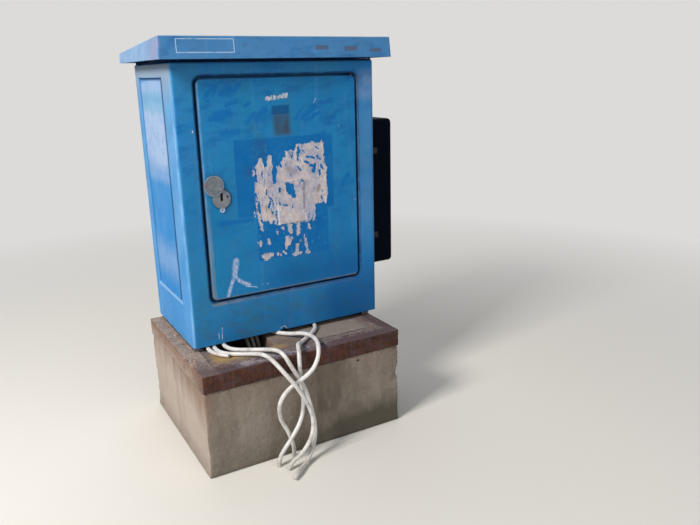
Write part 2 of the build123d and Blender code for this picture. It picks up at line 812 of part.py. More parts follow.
# Rod guides on the door's skin
guide_rear = rod_rear + guide_back
guide_places = (
    (lock_x + rod_offset, rod_tips[0] - guide_from_edge),
    (lock_x - rod_offset, rod_tips[1] + guide_from_edge),
)
with BuildPart() as rod_guides:
    with BuildSketch(front_view(guide_rear)):
        with Locations(*guide_places):
            Rectangle(guide_width, guide_height)
    extrude(amount=guide_rear - door_skin)
    for place in guide_places:
        with BuildSketch(Plane.XY.offset(place[1] - guide_height / 2)):
            with Locations((place[0], (rod_front + rod_rear) / 2)):
                Rectangle(rod_width + 2 * rod_fit, rod_thickness + 2 * rod_fit)
        extrude(amount=guide_height, mode=Mode.SUBTRACT)
save(rod_guides, "rod_guides")

# Mounting plate on four standoffs from the rear wall
standoff_spacing = (plate_width - 2 * standoff_margin, plate_height - 2 * standoff_margin)
with BuildPart() as plate_standoffs:
    with BuildSketch(front_view(shell_rear - shell_wall)):
        with Locations(plate_middle):
            with GridLocations(*standoff_spacing, 2, 2):
                Circle(standoff_radius)
    extrude(amount=plate_standoff)
save(plate_standoffs, "plate_standoffs")

with BuildPart() as mounting_plate:
    with BuildSketch(front_view(plate_front + plate_thickness)):
        with Locations(plate_middle):
            RectangleRounded(plate_width, plate_height, standoff_radius)
    extrude(amount=plate_thickness)
save(mounting_plate, "mounting_plate")

# Mounting rails: rolled hat section, crown on the plate and brim to the front
for name, height in (("din_rail_upper", breaker_z), ("din_rail_lower", terminal_z)):
    with BuildPart() as rail:
        with BuildSketch(side_view(shell_middle[0])):
            with Locations((din_rail_front + din_rail_wall / 2, height)):
                Rectangle(din_rail_wall, din_rail_height)
            with Locations((din_rail_front + din_rail_depth / 2, height)):
                Rectangle(din_rail_depth, din_rail_crown)
            with Locations((din_rail_front + (din_rail_depth - din_rail_wall) / 2, height)):
                Rectangle(
                    din_rail_depth - din_rail_wall, din_rail_crown - 2 * din_rail_wall, mode=Mode.SUBTRACT
                )
        extrude(amount=din_rail_length / 2, both=True)
    save(rail, name)

# Main switch on the upper rail, with its rotary handle
device_back = plate_front - device_back_gap
switch_front = din_rail_front - switch_depth
with BuildPart() as main_switch:
    with BuildSketch(side_view(switch_middle)):
        with Locations(((switch_front + device_back) / 2, breaker_z)):
            Rectangle(device_back - switch_front, breaker_height)
        with Locations(((din_rail_front + device_back) / 2, breaker_z)):
            Rectangle(device_back - din_rail_front, din_rail_height, mode=Mode.SUBTRACT)
    extrude(amount=switch_width / 2, both=True)
    chamfer(main_switch.faces().sort_by(Axis.Y)[0].edges(), 2 * device_back_gap)
    with BuildSketch(front_view(switch_front)):
        with Locations((switch_middle, breaker_z)):
            Circle(handle_shaft_radius + running_fit)
    extrude(amount=-handle_shaft_length, mode=Mode.SUBTRACT)
save(main_switch, "main_switch")

handle_back = switch_front - running_gap
with BuildPart() as main_switch_handle:
    with BuildSketch(front_view(switch_front + handle_shaft_length - running_gap)):
        with Locations((switch_middle, breaker_z)):
            Circle(handle_shaft_radius)
    extrude(amount=handle_shaft_length)
    with BuildSketch(front_view(handle_back)):
        with Locations((switch_middle, breaker_z)):
            Circle(handle_radius)
    extrude(amount=handle_thickness)
    with BuildSketch(front_view(handle_back - handle_thickness)):
        with Locations((switch_middle, breaker_z)):
            SlotOverall(2 * (handle_radius - handle_rim), handle_grip_width, rotation=90)
    extrude(amount=handle_grip_depth)
save(main_switch_handle, "main_switch_handle")

# Circuit breakers with stepped fronts, and their toggles
body_front = din_rail_front - breaker_body_depth
nose_front = body_front - breaker_nose_depth
hub_y = nose_front + toggle_hub_sink
lever = math.radians(toggle_angle)
for number in range(breaker_count):
    middle = breaker_first + number * breaker_pitch
    with BuildPart() as breaker:
        with BuildSketch(side_view(middle)):
            with Locations(((body_front + device_back) / 2, breaker_z)):
                Rectangle(device_back - body_front, breaker_height)
            with Locations(((nose_front + body_front) / 2, breaker_z)):
                Rectangle(breaker_nose_depth, breaker_nose_height)
            with Locations(((din_rail_front + device_back) / 2, breaker_z)):
                Rectangle(device_back - din_rail_front, din_rail_height, mode=Mode.SUBTRACT)
        extrude(amount=breaker_width / 2, both=True)
        with BuildSketch(side_view(middle)):
            with Locations((hub_y, breaker_z)):
                Circle(toggle_hub_radius + running_gap)
        extrude(amount=toggle_width / 2 + running_gap, both=True, mode=Mode.SUBTRACT)
    save(breaker, "circuit_breaker_" + str(number + 1))
    with BuildPart() as toggle:
        with BuildSketch(side_view(middle)):
            with Locations((hub_y, breaker_z)):
                Circle(toggle_hub_radius)
            reach = toggle_reach / 2
            with Locations((hub_y - reach * math.cos(lever), breaker_z + reach * math.sin(lever))):
                Rectangle(toggle_reach, toggle_thickness, rotation=180 - toggle_angle)
        extrude(amount=toggle_width / 2, both=True)
    save(toggle, "breaker_toggle_" + str(number + 1))

# Terminal blocks side by side on the lower rail
terminal_front = din_rail_front - terminal_depth
terminal_places = [terminal_first + (number + 0.5) * terminal_pitch for number in range(terminal_count)]
with BuildPart() as terminal_blocks:
    with BuildSketch(side_view(terminal_first)):
        with BuildLine():
            Polyline(
                (device_back, terminal_z - terminal_height / 2),
                (din_rail_front - terminal_depth / 2, terminal_z - terminal_height / 2),
                (terminal_front, terminal_z - terminal_nose_height / 2),
                (terminal_front, terminal_z + terminal_nose_height / 2),
                (din_rail_front - terminal_depth / 2, terminal_z + terminal_height / 2),
                (device_back, terminal_z + terminal_height / 2),
                close=True,
            )
        make_face()
        with Locations(((din_rail_front + device_back) / 2, terminal_z)):
            Rectangle(device_back - din_rail_front, din_rail_height, mode=Mode.SUBTRACT)
    extrude(amount=terminal_count * terminal_pitch - terminal_gap)
    with BuildSketch(front_view(terminal_front)):
        for place in terminal_places[:-1]:
            with Locations((place + terminal_pitch / 2, terminal_z)):
                Rectangle(terminal_gap, terminal_height)
    extrude(amount=-terminal_depth / 2, mode=Mode.SUBTRACT)
save(terminal_blocks, "terminal_blocks")

# Neutral and earth bars on insulating supports, with their clamp screws
bar_rear = plate_front - bar_support_depth
bar_ends = (bar_length - bar_support_width) / 2
for name, middle in zip(("neutral_bar", "earth_bar"), bar_middles):
    with BuildPart() as bar:
        with BuildSketch(front_view(bar_rear)):
            with Locations((middle, bar_z)):
                Rectangle(bar_length, bar_height)
        extrude(amount=bar_thickness)
        chamfer(bar.faces().sort_by(Axis.Y)[0].edges(), bar_thickness / 8)
    save(bar, name)
with BuildPart() as bar_supports:
    with BuildSketch(front_view(plate_front)):
        for middle in bar_middles:
            with Locations((middle - bar_ends, bar_z), (middle + bar_ends, bar_z)):
                Rectangle(bar_support_width, bar_height)
    extrude(amount=bar_support_depth)
save(bar_supports, "bar_supports")
with BuildPart() as bar_screws:
    with BuildSketch(front_view(bar_rear - bar_thickness)):
        for middle in bar_middles:
            with Locations((middle, bar_z)):
                with GridLocations(bar_length / (bar_screw_count + 1), bar_height, bar_screw_count, 1):
                    Circle(bar_screw_radius)
    extrude(amount=bar_screw_head)
save(bar_screws, "bar_screws")

# Cable routes, chosen by hand. A free cable starts under its clamp, points down there, and ends in the ground
# or at a cut end. All are (x, y, z).
cable_a_route = [
    (-160, 30, 368), (-160, 30, 322), (-166, 8, 286), (-180, -42, 271), (-193, -98, 270.8),
    (-186, -136, 270.8), (-157, -159, 270.8), (-126, -181, 271.5), (-111, -217, 281), (-103, -254, 276),
    (-82, -276, 243), (-59, -283, 209), (-37, -283, 168), (-20, -280, 128), (-17, -281, 92),
    (-27, -284, 60), (-54, -289, 32), (-87, -292, 18), (-95, -293, 2.5),
]
cable_b_route = [
    (-144, 30, 368), (-144, 30, 322), (-149, 8, 286), (-158, -42, 272), (-166, -86, 271.5),
    (-163, -112, 271.2), (-152, -131, 271), (-132, -145, 271), (-103, -163, 271), (-85, -193, 278),
    (-74, -220, 283), (-67, -240, 275), (-60, -251, 256), (-48, -251, 232), (-34, -249, 208),
    (-21, -251, 178), (-12, -256, 138), (-5, -262, 92), (-8, -270, 56), (-26, -282, 22),
    (-58, -304, 8), (-93, -334, 14), (-100.5, -340.5, 3.6),
]
cable_c_route = [
    (100, 30, 368), (100, 30, 322), (99, 8, 286), (97, -42, 271), (92, -98, 270.8),
    (62, -134, 270.8), (28, -162, 270.8), (3, -184, 272), (-13, -204, 281), (-23, -223, 284),
    (-29, -240, 277), (-33, -249, 262), (-33, -250, 243), (-30, -244, 223), (-27, -237, 203),
    (-23, -238, 170), (-27, -247, 122), (-43, -255, 92), (-69, -262, 64), (-95, -265, 38),
    (-108, -266, 18), (-108, -266, 0),
]
cable_d_route = [
    (-46, 30, 368), (-46, 30, 322), (-44, 8, 286), (-34, -42, 271), (-16, -88, 271.2),
    (6, -122, 275), (26, -152, 283), (32, -178, 286), (32, -204, 287), (28, -228, 286),
    (21, -248, 278), (12, -262, 260), (-4, -267, 236), (-27, -265, 218), (-55, -262, 206),
    (-82, -257, 184), (-96, -253, 152), (-90, -248, 114), (-71, -246, 76), (-60, -246, 40),
    (-57, -245, 20), (-57, -245, 0),
]
cable_stub_route = [
    (-176, 30, 368), (-176, 30, 322), (-183, 8, 286), (-197, -42, 271), (-208, -92, 270.8),
    (-202, -130, 270.8), (-178, -158, 270.8),
]
shaft_cable_1_route = [
    (-126, 30, 368), (-126, 30, 328), (-108, 2, 296), (-90, -32, 268), (-83, -52, 232),
    (-82, -55, 180), (-83, -56, 120), (-84, -56, 60), (-84, -56, 0),
]
shaft_cable_2_route = [
    (-104, 30, 368), (-104, 30, 328), (-90, 2, 296), (-74, -34, 266), (-69, -53, 230),
    (-69, -57, 180), (-70, -57, 120), (-69, -58, 60), (-69, -58, 0),
]
shaft_cable_3_route = [
    (-80, 30, 368), (-80, 30, 328), (-71, 0, 296), (-60, -34, 266), (-56, -53, 230),
    (-54, -58, 180), (-54, -59, 120), (-55, -58, 60), (-55, -58, 0),
]
cable_routes = {
    "cable_a": cable_a_route,
    "cable_b": cable_b_route,
    "cable_c": cable_c_route,
    "cable_d": cable_d_route,
    "cable_stub": cable_stub_route,
    "shaft_cable_1": shaft_cable_1_route,
    "shaft_cable_2": shaft_cable_2_route,
    "shaft_cable_3": shaft_cable_3_route,
}
clamp_places = [(route[0][0], cable_row) for route in cable_routes.values()]


def corner_radii(route):
    """The largest arc that each corner's two runs allow."""
    radii = []
    for before, here, after in zip(route, route[1:], route[2:]):
        run_in = Vector(here) - Vector(before)
        run_out = Vector(after) - Vector(here)
        half_turn = math.radians(run_in.get_angle(run_out)) / 2
        radii.append(bend_share * min(run_in.length, run_out.length) / math.tan(half_turn))
    return radii


def sweep_cable(route):
    """A round cable along straight runs joined by tangent arcs, added to the part being built."""
    with BuildLine() as path:
        FilletPolyline(*route, radius=corner_radii(route))
    with BuildSketch(Plane(origin=route[0], z_dir=Vector(route[1]) - Vector(route[0]))) as section:
        Circle(cable_diameter / 2)
    sweep(section.sketch, path=path.wire())
    return path.wire().length


# Clamp rail across the cable compartment, on a bracket at each side wall
clamp_rear = cable_row + clamp_depth / 2
clamp_rail_middle_z = cable_exit_height + clamp_height / 2
with BuildPart() as clamp_rail:
    with BuildSketch(side_view(inner_left + rail_bracket_thickness)):
        with Locations((clamp_rear + clamp_rail_depth / 2, clamp_rail_middle_z)):
            Rectangle(clamp_rail_depth, clamp_rail_height)
        with Locations((clamp_rear + (clamp_rail_depth + clamp_rail_wall) / 2, clamp_rail_middle_z)):
            Rectangle(
                clamp_rail_depth - clamp_rail_wall,
                clamp_rail_height - 2 * clamp_rail_wall,
                mode=Mode.SUBTRACT,
            )
    extrude(amount=inner_right - inner_left - 2 * rail_bracket_thickness)
save(clamp_rail, "clamp_rail")

# Rail brackets: one flat plate on each side wall, and a shelf under the rail
with BuildPart() as rail_brackets:
    with BuildSketch(side_view(inner_left), side_view(inner_right - rail_bracket_thickness)):
        with Locations((clamp_rear + clamp_rail_depth / 2, clamp_rail_middle_z)):
            Rectangle(rail_bracket_size, rail_bracket_size)
    extrude(amount=rail_bracket_thickness)
    shelf_top = clamp_rail_middle_z - clamp_rail_height / 2
    with BuildSketch(Plane.XY.offset(shelf_top)):
        with Locations(
            (inner_left + rail_bracket_size / 2, clamp_rear + clamp_rail_depth / 2),
            (inner_right - rail_bracket_size / 2, clamp_rear + clamp_rail_depth / 2),
        ):
            Rectangle(rail_bracket_size, clamp_rail_depth)
    extrude(amount=-rail_bracket_thickness)
save(rail_brackets, "rail_brackets")

# Cable clamps on the rail's front
with BuildPart() as cable_clamps:
    with BuildSketch(Plane.XY.offset(cable_exit_height)):
        with Locations(*clamp_places):
            Rectangle(clamp_width, clamp_depth)
            Circle(cable_diameter / 2 + clamp_bore_clearance, mode=Mode.SUBTRACT)
    extrude(amount=clamp_height)
save(cable_clamps, "cable_clamps")

# Cable tails, from the clamps up to the terminals, held at both ends
terminal_bottom = terminal_z - terminal_height / 2
tail_y = (device_back + terminal_front + terminal_depth / 2) / 2 - device_back_gap
with BuildPart() as cable_tails:
    for x, y in clamp_places:
        tail_route = [
            (x, y, cable_exit_height),
            (x, y, cable_exit_height + 72),
            (x, tail_y, terminal_bottom - 59),
            (x, tail_y, terminal_bottom),
        ]
        sweep_cable(tail_route)
save(cable_tails, "cable_tails")

# Free cables, each with its tightest bend, and its volume set against section times length
for name, route in cable_routes.items():
    with BuildPart() as cable:
        length = sweep_cable(route)
    share = cable.part.volume / (math.pi * cable_diameter**2 / 4 * length)
    radii = [round(radius) for radius in corner_radii(route)]
    print(name, "length", round(length), "volume share", round(share, 4), "radii", radii)
    save(cable, name)

# Side box: a base tray on the shell's right wall and a rounded cover
with BuildPart() as side_box_base:
    with BuildSketch(side_view(shell_right)):
        with Locations((box_middle_y, box_middle_z)):
            RectangleRounded(box_depth, box_height, box_corner_radius)
    extrude(amount=box_base_thickness)
    with BuildSketch(side_view(shell_right + box_wall)):
        with Locations((box_middle_y, box_middle_z)):
            RectangleRounded(
                box_depth - 2 * box_wall, box_height - 2 * box_wall, box_corner_radius - box_wall
            )
    extrude(amount=box_base_thickness - box_wall, mode=Mode.SUBTRACT)
save(side_box_base, "side_box_base")

with BuildPart() as side_box_cover:
    with BuildSketch(side_view(box_seam)):
        with Locations((box_middle_y, box_middle_z)):
            RectangleRounded(box_depth, box_height, box_corner_radius)
    extrude(amount=box_cover_thickness)
    fillet(side_box_cover.faces().sort_by(Axis.X)[-1].edges(), box_cover_radius - box_corner_radius / 2)
    offset(amount=-box_wall, openings=side_box_cover.faces().sort_by(Axis.X)[0])
save(side_box_cover, "side_box_cover")

# Brackets: angle pieces with a foot on the shell's wall and a leg on the box's front and rear faces
bracket_spread = box_height / 2 - bracket_margin
bracket_heights = (box_middle_z - bracket_spread, box_middle_z + bracket_spread)
with BuildPart() as front_brackets:
    for height in bracket_heights:
        with BuildSketch(Plane.XY.offset(height - bracket_height / 2)):
            with Locations((shell_right, box_front - bracket_thickness)):
                Rectangle(bracket_reach, bracket_thickness, align=(Align.MIN, Align.MIN))
            with Locations((shell_right, box_front)):
                Rectangle(bracket_thickness, bracket_foot + bracket_thickness, align=(Align.MIN, Align.MAX))
        extrude(amount=bracket_height)
with BuildPart() as side_box_brackets:
    add(front_brackets.part)
    add(front_brackets.part.mirror(Plane.XZ.offset(-box_middle_y)))
save(side_box_brackets, "side_box_brackets")

# Screws of the cover and of the brackets
foot_screw_y = box_front - bracket_thickness - bracket_foot / 2
leg_screw_x = shell_right + 0.7 * bracket_reach
with BuildPart() as side_box_screws:
    with BuildSketch(side_view(box_seam + box_cover_thickness)):
        with Locations((box_middle_y, box_middle_z)):
            with GridLocations(box_depth - 2 * box_screw_inset, box_height - 2 * box_screw_inset, 2, 2):
                Circle(box_screw_radius)
    extrude(amount=box_screw_height)
    with BuildSketch(side_view(shell_right + bracket_thickness)):
        for height in bracket_heights:
            with Locations((foot_screw_y, height), (2 * box_middle_y - foot_screw_y, height)):
                Circle(box_screw_radius)
    extrude(amount=box_screw_height)
    with BuildSketch(front_view(box_front - bracket_thickness)):
        with Locations(*[(leg_screw_x, height) for height in bracket_heights]):
            Circle(box_screw_radius)
    extrude(amount=box_screw_height)
    with BuildSketch(front_view(box_rear + bracket_thickness)):
        with Locations(*[(leg_screw_x, height) for height in bracket_heights]):
            Circle(box_screw_radius)
    extrude(amount=-box_screw_height)
save(side_box_screws, "side_box_screws")

print("rod travel", round(rod_travel, 3), "hinge", hinge_x, hinge_y, "spindle", lock_x, spindle_z)
print("disc pivot", lock_x, disc_pivot_z, "toggle hub", hub_y, breaker_z)
print("main switch", switch_middle, switch_front, breaker_z)
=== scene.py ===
import bpy, bmesh, json, math
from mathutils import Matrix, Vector, noise

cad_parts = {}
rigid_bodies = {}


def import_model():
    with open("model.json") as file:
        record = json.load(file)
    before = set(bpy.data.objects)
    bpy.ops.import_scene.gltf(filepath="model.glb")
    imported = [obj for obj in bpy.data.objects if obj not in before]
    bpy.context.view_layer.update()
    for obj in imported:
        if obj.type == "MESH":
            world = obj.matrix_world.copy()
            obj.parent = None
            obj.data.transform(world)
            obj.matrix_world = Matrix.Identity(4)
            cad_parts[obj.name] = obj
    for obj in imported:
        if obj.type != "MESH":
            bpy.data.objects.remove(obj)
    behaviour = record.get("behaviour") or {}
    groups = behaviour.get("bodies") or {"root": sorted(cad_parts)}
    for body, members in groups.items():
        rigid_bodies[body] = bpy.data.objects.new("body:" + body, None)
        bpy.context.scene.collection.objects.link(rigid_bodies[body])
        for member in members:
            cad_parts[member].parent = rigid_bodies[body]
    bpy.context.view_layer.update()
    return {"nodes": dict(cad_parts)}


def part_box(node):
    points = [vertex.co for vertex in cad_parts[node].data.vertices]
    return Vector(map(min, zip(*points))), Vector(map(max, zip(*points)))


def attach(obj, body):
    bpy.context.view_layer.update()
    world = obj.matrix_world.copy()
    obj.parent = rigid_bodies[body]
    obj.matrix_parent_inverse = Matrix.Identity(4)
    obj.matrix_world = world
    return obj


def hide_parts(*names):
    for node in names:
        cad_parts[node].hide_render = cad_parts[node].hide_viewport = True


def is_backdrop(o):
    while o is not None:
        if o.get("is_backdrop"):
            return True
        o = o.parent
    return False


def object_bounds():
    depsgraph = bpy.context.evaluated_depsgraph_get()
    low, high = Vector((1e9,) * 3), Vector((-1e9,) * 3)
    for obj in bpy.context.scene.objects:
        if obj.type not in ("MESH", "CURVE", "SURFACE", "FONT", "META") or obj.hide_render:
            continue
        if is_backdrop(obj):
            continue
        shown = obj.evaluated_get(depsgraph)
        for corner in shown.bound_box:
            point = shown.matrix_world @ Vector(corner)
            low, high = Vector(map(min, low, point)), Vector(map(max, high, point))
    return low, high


# Roadside utility cabinet: faded blue glass-fibre housing on a rusty, crumbling plinth, cables hanging out
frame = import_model()
nodes = frame["nodes"]
scene = bpy.context.scene
print("frame loaded:", len(nodes), "CAD nodes")


# Camera: matches the photo's perspective
cameraView = {
    "place": (-0.6655, -1.6082, 0.9251),
    "turn": (74.141, 1.289, -30.22),     # degrees
    "lens": 34.41,
    "sensor": 36.0,
}
cameraData = bpy.data.cameras.new("camera")
cameraData.lens = cameraView["lens"]
cameraData.sensor_width = cameraView["sensor"]
cameraData.clip_start = 0.05
camera = bpy.data.objects.new("camera", cameraData)
camera.location = cameraView["place"]
camera.rotation_euler = [math.radians(a) for a in cameraView["turn"]]
scene.collection.objects.link(camera)
scene.camera = camera


# small helpers
def colour(hexText, alpha=1.0):
    # sRGB hex to the linear values Blender mixes in
    parts = [int(hexText[i:i + 2], 16) / 255 for i in (1, 3, 5)]
    return [p / 12.92 if p <= 0.04045 else ((p + 0.055) / 1.055) ** 2.4 for p in parts] + [alpha]


def fill(tree, node, inputs):
    # inputs are values or other sockets
    for key, value in inputs.items():
        if isinstance(value, bpy.types.NodeSocket):
            tree.links.new(value, node.inputs[key])
        else:
            node.inputs[key].default_value = value


def addNode(tree, kind, inputs=None, **settings):
    # a node with its settings
    made = tree.nodes.new(kind)
    for name, value in settings.items():
        setattr(made, name, value)
    fill(tree, made, inputs or {})
    return made


def paint(names, material):
    for name in names:
        mesh = nodes[name].data
        mesh.materials.clear()
        mesh.materials.append(material)


def newPiece(name, mesh, material, body):
    piece = bpy.data.objects.new(name, mesh)
    mesh.materials.append(material)
    scene.collection.objects.link(piece)
    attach(piece, body)
    return piece


def put(tree, kind, inputs=None, **settings):
    # the first output of a new node
    return addNode(tree, kind, inputs, **settings).outputs[0]


def modified(mesh, kind, sockets=None, **settings):
    # a plain mesh that a modifier makes of this one
    holder = bpy.data.objects.new("holder", mesh)
    scene.collection.objects.link(holder)
    modifier = holder.modifiers.new("shape", kind)
    for name, value in settings.items():
        setattr(modifier, name, value)
    for name, value in (sockets or {}).items():
        modifier[name] = value
    made = bpy.data.meshes.new_from_object(holder.evaluated_get(bpy.context.evaluated_depsgraph_get()))
    made.materials.clear()
    holder.modifiers.remove(modifier)
    bpy.data.objects.remove(holder)
    return made


def calc(tree, operation, a, b=0.5, c=None, clamp=False):
    values = {0: a, 1: b} if c is None else {0: a, 1: b, 2: c}
    return put(tree, "ShaderNodeMath", values, operation=operation, use_clamp=clamp)


def ramp(tree, value, low, high, start=0, end=1):
    # value brought from low..high to start..end, held at both
    return put(tree, "ShaderNodeMapRange", {"Value": value, "From Min": low, "From Max": high, "To Min": start,
                                            "To Max": end})


class Coat:
    # a material as its colour is laid on, with where each point is on the piece and which way it faces;
    # a mask is 1 where a mark is and 0 where it isn't, and every length is in metres
    def __init__(self, name, tone):
        self.material = bpy.data.materials.new(name)
        self.material.use_nodes = True
        self.tree = self.material.node_tree
        self.shader = self.tree.nodes["Principled BSDF"]
        where = addNode(self.tree, "ShaderNodeTexCoord")
        self.coords = where.outputs["Object"]
        self.place = addNode(self.tree, "ShaderNodeSeparateXYZ", {0: self.coords}).outputs
        self.facing = addNode(self.tree, "ShaderNodeSeparateXYZ", {0: where.outputs["Normal"]}).outputs
        self.base = colour(tone)

    def calc(self, operation, *values, **more):
        return calc(self.tree, operation, *values, **more)

    def times(self, first, *others):
        for other in others:
            first = self.calc("MULTIPLY", first, other)
        return first

    def most(self, first, *others):
        for other in others:
            first = self.calc("MAXIMUM", first, other)
        return first

    def least(self, first, *others):
        for other in others:
            first = self.calc("MINIMUM", first, other)
        return first

    def ramp(self, value, *reach):
        return ramp(self.tree, value, *reach)

    def cloud(self, scale, detail=4, roughness=0.55, distortion=0, coords=None):
        # noise whose scale is in waves a metre; a stretched pattern gives three scales
        scale = scale if isinstance(scale, tuple) else (scale, scale, scale)
        place = put(self.tree, "ShaderNodeMapping", {"Vector": coords or self.coords, "Scale": scale})
        return put(self.tree, "ShaderNodeTexNoise", {"Vector": place, "Scale": 1, "Detail": detail,
                                                     "Roughness": roughness, "Distortion": distortion})

    def mottle(self, scale, detail, roughness, low, high, start=0, end=1, **more):
        return self.ramp(self.cloud(scale, detail, roughness, **more), low, high, start, end)

    def stray(self, value, amount, *pattern):
        # the value moved by noise, for ragged edges
        return self.calc("MULTIPLY_ADD", self.cloud(*pattern), amount, value)

    def vector(self, operation, *values):
        made = addNode(self.tree, "ShaderNodeVectorMath", dict(enumerate(values)), operation=operation)
        return made.outputs["Value" if operation in ("DOT_PRODUCT", "DISTANCE", "LENGTH") else "Vector"]

    def wobble(self, scale, amount):
        # the same place, moved by up to about half the amount
        made = addNode(self.tree, "ShaderNodeTexNoise", {"Vector": self.coords, "Scale": scale, "Detail": 5,
                                                         "Roughness": 0.65})
        moved = self.vector("SUBTRACT", made.outputs[1], (0.5, 0.5, 0.5))
        return self.vector("MULTIPLY_ADD", moved, (amount, amount, amount), self.coords)

    def between(self, value, low, high, soft):
        return self.times(self.ramp(value, low - soft / 2, low + soft / 2),
                          self.ramp(value, high - soft / 2, high + soft / 2, 1, 0))

    def patch(self, across, up, left, right, low, high, soft):
        return self.times(self.between(across, left, right, soft), self.between(up, low, high, soft))

    def awayFrom(self, centre, coords=None):
        # how far a point is from the centre, which is 0 along the axis that doesn't count
        seen = tuple(0 if c == 0 else 1 for c in centre)
        return self.vector("DISTANCE", self.vector("MULTIPLY", coords or self.coords, seen), centre)

    def spot(self, centre, reach, soft, coords=None):
        return self.ramp(self.awayFrom(centre, coords), reach - soft, reach + soft, 1, 0)

    def strokeGap(self, start, end, coords=None):
        # how far a point is from the line from start to end, both (x, z), on a face that looks forward
        run = Vector((end[0] - start[0], 0, end[1] - start[1]))
        flat = self.vector("MULTIPLY", coords or self.coords, (1, 0, 1))
        local = self.vector("SUBTRACT", flat, (start[0], 0, start[1]))
        along = self.vector("DOT_PRODUCT", local, run / run.length_squared)
        along = self.calc("MULTIPLY", along, 1, clamp=True)
        # with SCALE the number isn't turned into a vector first, which would overfill a material of many strokes
        foot = put(self.tree, "ShaderNodeVectorMath", {0: run, "Scale": along}, operation="SCALE")
        return self.vector("DISTANCE", local, foot)

    def stroke(self, start, end, halfWidth, soft, coords=None):
        return self.ramp(self.strokeGap(start, end, coords), halfWidth - soft, halfWidth + soft, 1, 0)

    def nearest(self, strokes, coords):
        # distance from the nearest stroke, in parts of that stroke's half width
        found = None
        for start, end, halfWidth in strokes:
            share = self.calc("DIVIDE", self.strokeGap(start, end, coords), halfWidth)
            found = share if found is None else self.least(found, share)
        return found

    def mix(self, factor, under, over):
        return addNode(self.tree, "ShaderNodeMix", {0: factor, 6: under, 7: over}, data_type="RGBA").outputs[2]

    def lay(self, tone, *masks):
        # a hex colour, or a socket, over what is there, as strong as the product of the masks
        over = tone if isinstance(tone, bpy.types.NodeSocket) else colour(tone)
        self.base = self.mix(self.times(*masks), self.base, over)

    def bump(self, height, distance, strength=1):
        made = addNode(self.tree, "ShaderNodeBump", {"Height": height, "Distance": distance, "Strength": strength})
        self.tree.links.new(made.outputs[0], self.shader.inputs["Normal"])

    def finish(self, sockets):
        fill(self.tree, self.shader, {"Base Color": self.base, **sockets})
        return self.material


# Cables: white PVC-sheathed cable, 10.5 mm, from the clamps inside out to the ground
cables = {
    "diameter": 0.0105,
    "around": 5,          # bevel resolution
    "along": 10,
    "stiffness": "medium",
}
cableRoutes = {
    "cable_a": [
        (-160, 30, 368), (-160, 30, 322), (-166, 8, 286), (-180, -42, 271), (-193, -98, 270.8), (-186, -136, 270.8),
        (-157, -159, 270.8), (-126, -181, 271.5), (-111, -217, 281), (-103, -254, 276), (-82, -276, 243),
        (-59, -283, 209), (-37, -283, 168), (-20, -280, 128), (-17, -281, 92), (-27, -284, 60), (-54, -289, 32),
        (-87, -292, 18), (-95, -293, 2.5),
    ],
    "cable_b": [
        (-144, 30, 368), (-144, 30, 322), (-149, 8, 286), (-158, -42, 272), (-166, -86, 271.5), (-163, -112, 271.2),
        (-152, -131, 271), (-132, -145, 271), (-103, -163, 271), (-85, -193, 278), (-74, -220, 283),
        (-67, -240, 275), (-60, -251, 256), (-48, -251, 232), (-34, -249, 208), (-21, -251, 178), (-12, -256, 138),
        (-5, -262, 92), (-8, -270, 56), (-26, -282, 22), (-58, -304, 8), (-93, -334, 14), (-100.5, -340.5, 3.6),
    ],
    "cable_c": [
        (100, 30, 368), (100, 30, 322), (99, 8, 286), (97, -42, 271), (92, -98, 270.8), (62, -134, 270.8),
        (28, -162, 270.8), (3, -184, 272), (-13, -204, 281), (-23, -223, 284), (-29, -240, 277), (-33, -249, 262),
        (-33, -250, 243), (-30, -244, 223), (-27, -237, 203), (-23, -238, 170), (-27, -247, 122), (-43, -255, 92),
        (-69, -262, 64), (-95, -265, 38), (-108, -266, 18), (-108, -266, 0),
    ],
    "cable_d": [
        (-46, 30, 368), (-46, 30, 322), (-44, 8, 286), (-34, -42, 271), (-16, -88, 271.2), (6, -122, 275),
        (26, -152, 283), (32, -178, 286), (32, -204, 287), (28, -228, 286), (21, -248, 278), (12, -262, 260),
        (-4, -267, 236), (-27, -265, 218), (-55, -262, 206), (-82, -257, 184), (-96, -253, 152), (-90, -248, 114),
        (-71, -246, 76), (-60, -246, 40), (-57, -245, 20), (-57, -245, 0),
    ],
    "cable_stub": [
        (-176, 30, 368), (-176, 30, 322), (-183, 8, 286), (-197, -42, 271), (-208, -92, 270.8), (-202, -130, 270.8),
        (-178, -158, 270.8),
    ],
    "shaft_cable_1": [
        (-126, 30, 368), (-126, 30, 328), (-108, 2, 296), (-90, -32, 268), (-83, -52, 232), (-82, -55, 180),
        (-83, -56, 120), (-84, -56, 60), (-84, -56, 0),
    ],
    "shaft_cable_2": [
        (-104, 30, 368), (-104, 30, 328), (-90, 2, 296), (-74, -34, 266), (-69, -53, 230), (-69, -57, 180),
        (-70, -57, 120), (-69, -58, 60), (-69, -58, 0),
    ],
    "shaft_cable_3": [
        (-80, 30, 368), (-80, 30, 328), (-71, 0, 296), (-60, -34, 266), (-56, -53, 230), (-54, -58, 180),
        (-54, -59, 120), (-55, -58, 60), (-55, -58, 0),
    ],
}


def makeCable(name, material):
    curve = bpy.data.curves.new(name + "_line", "CURVE")
    curve.dimensions = "3D"
    curve.bevel_depth = cables["diameter"] / 2
    curve.bevel_resolution = cables["around"]
    curve.resolution_u = cables["along"]
    curve.use_fill_caps = True
    line = curve.splines.new("NURBS")
    route = cableRoutes[name]
    line.points.add(len(route) - 1)
    for point, (x, y, z) in zip(line.points, route):
        point.co = (x / 1000, y / 1000, z / 1000, 1.0)
    line.order_u = 3
    line.use_endpoint_u = True
    piece = bpy.data.objects.new(name + "_sheath", curve)
    curve.materials.append(material)
    scene.collection.objects.link(piece)
    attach(piece, "base")
    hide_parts(name)
    return piece


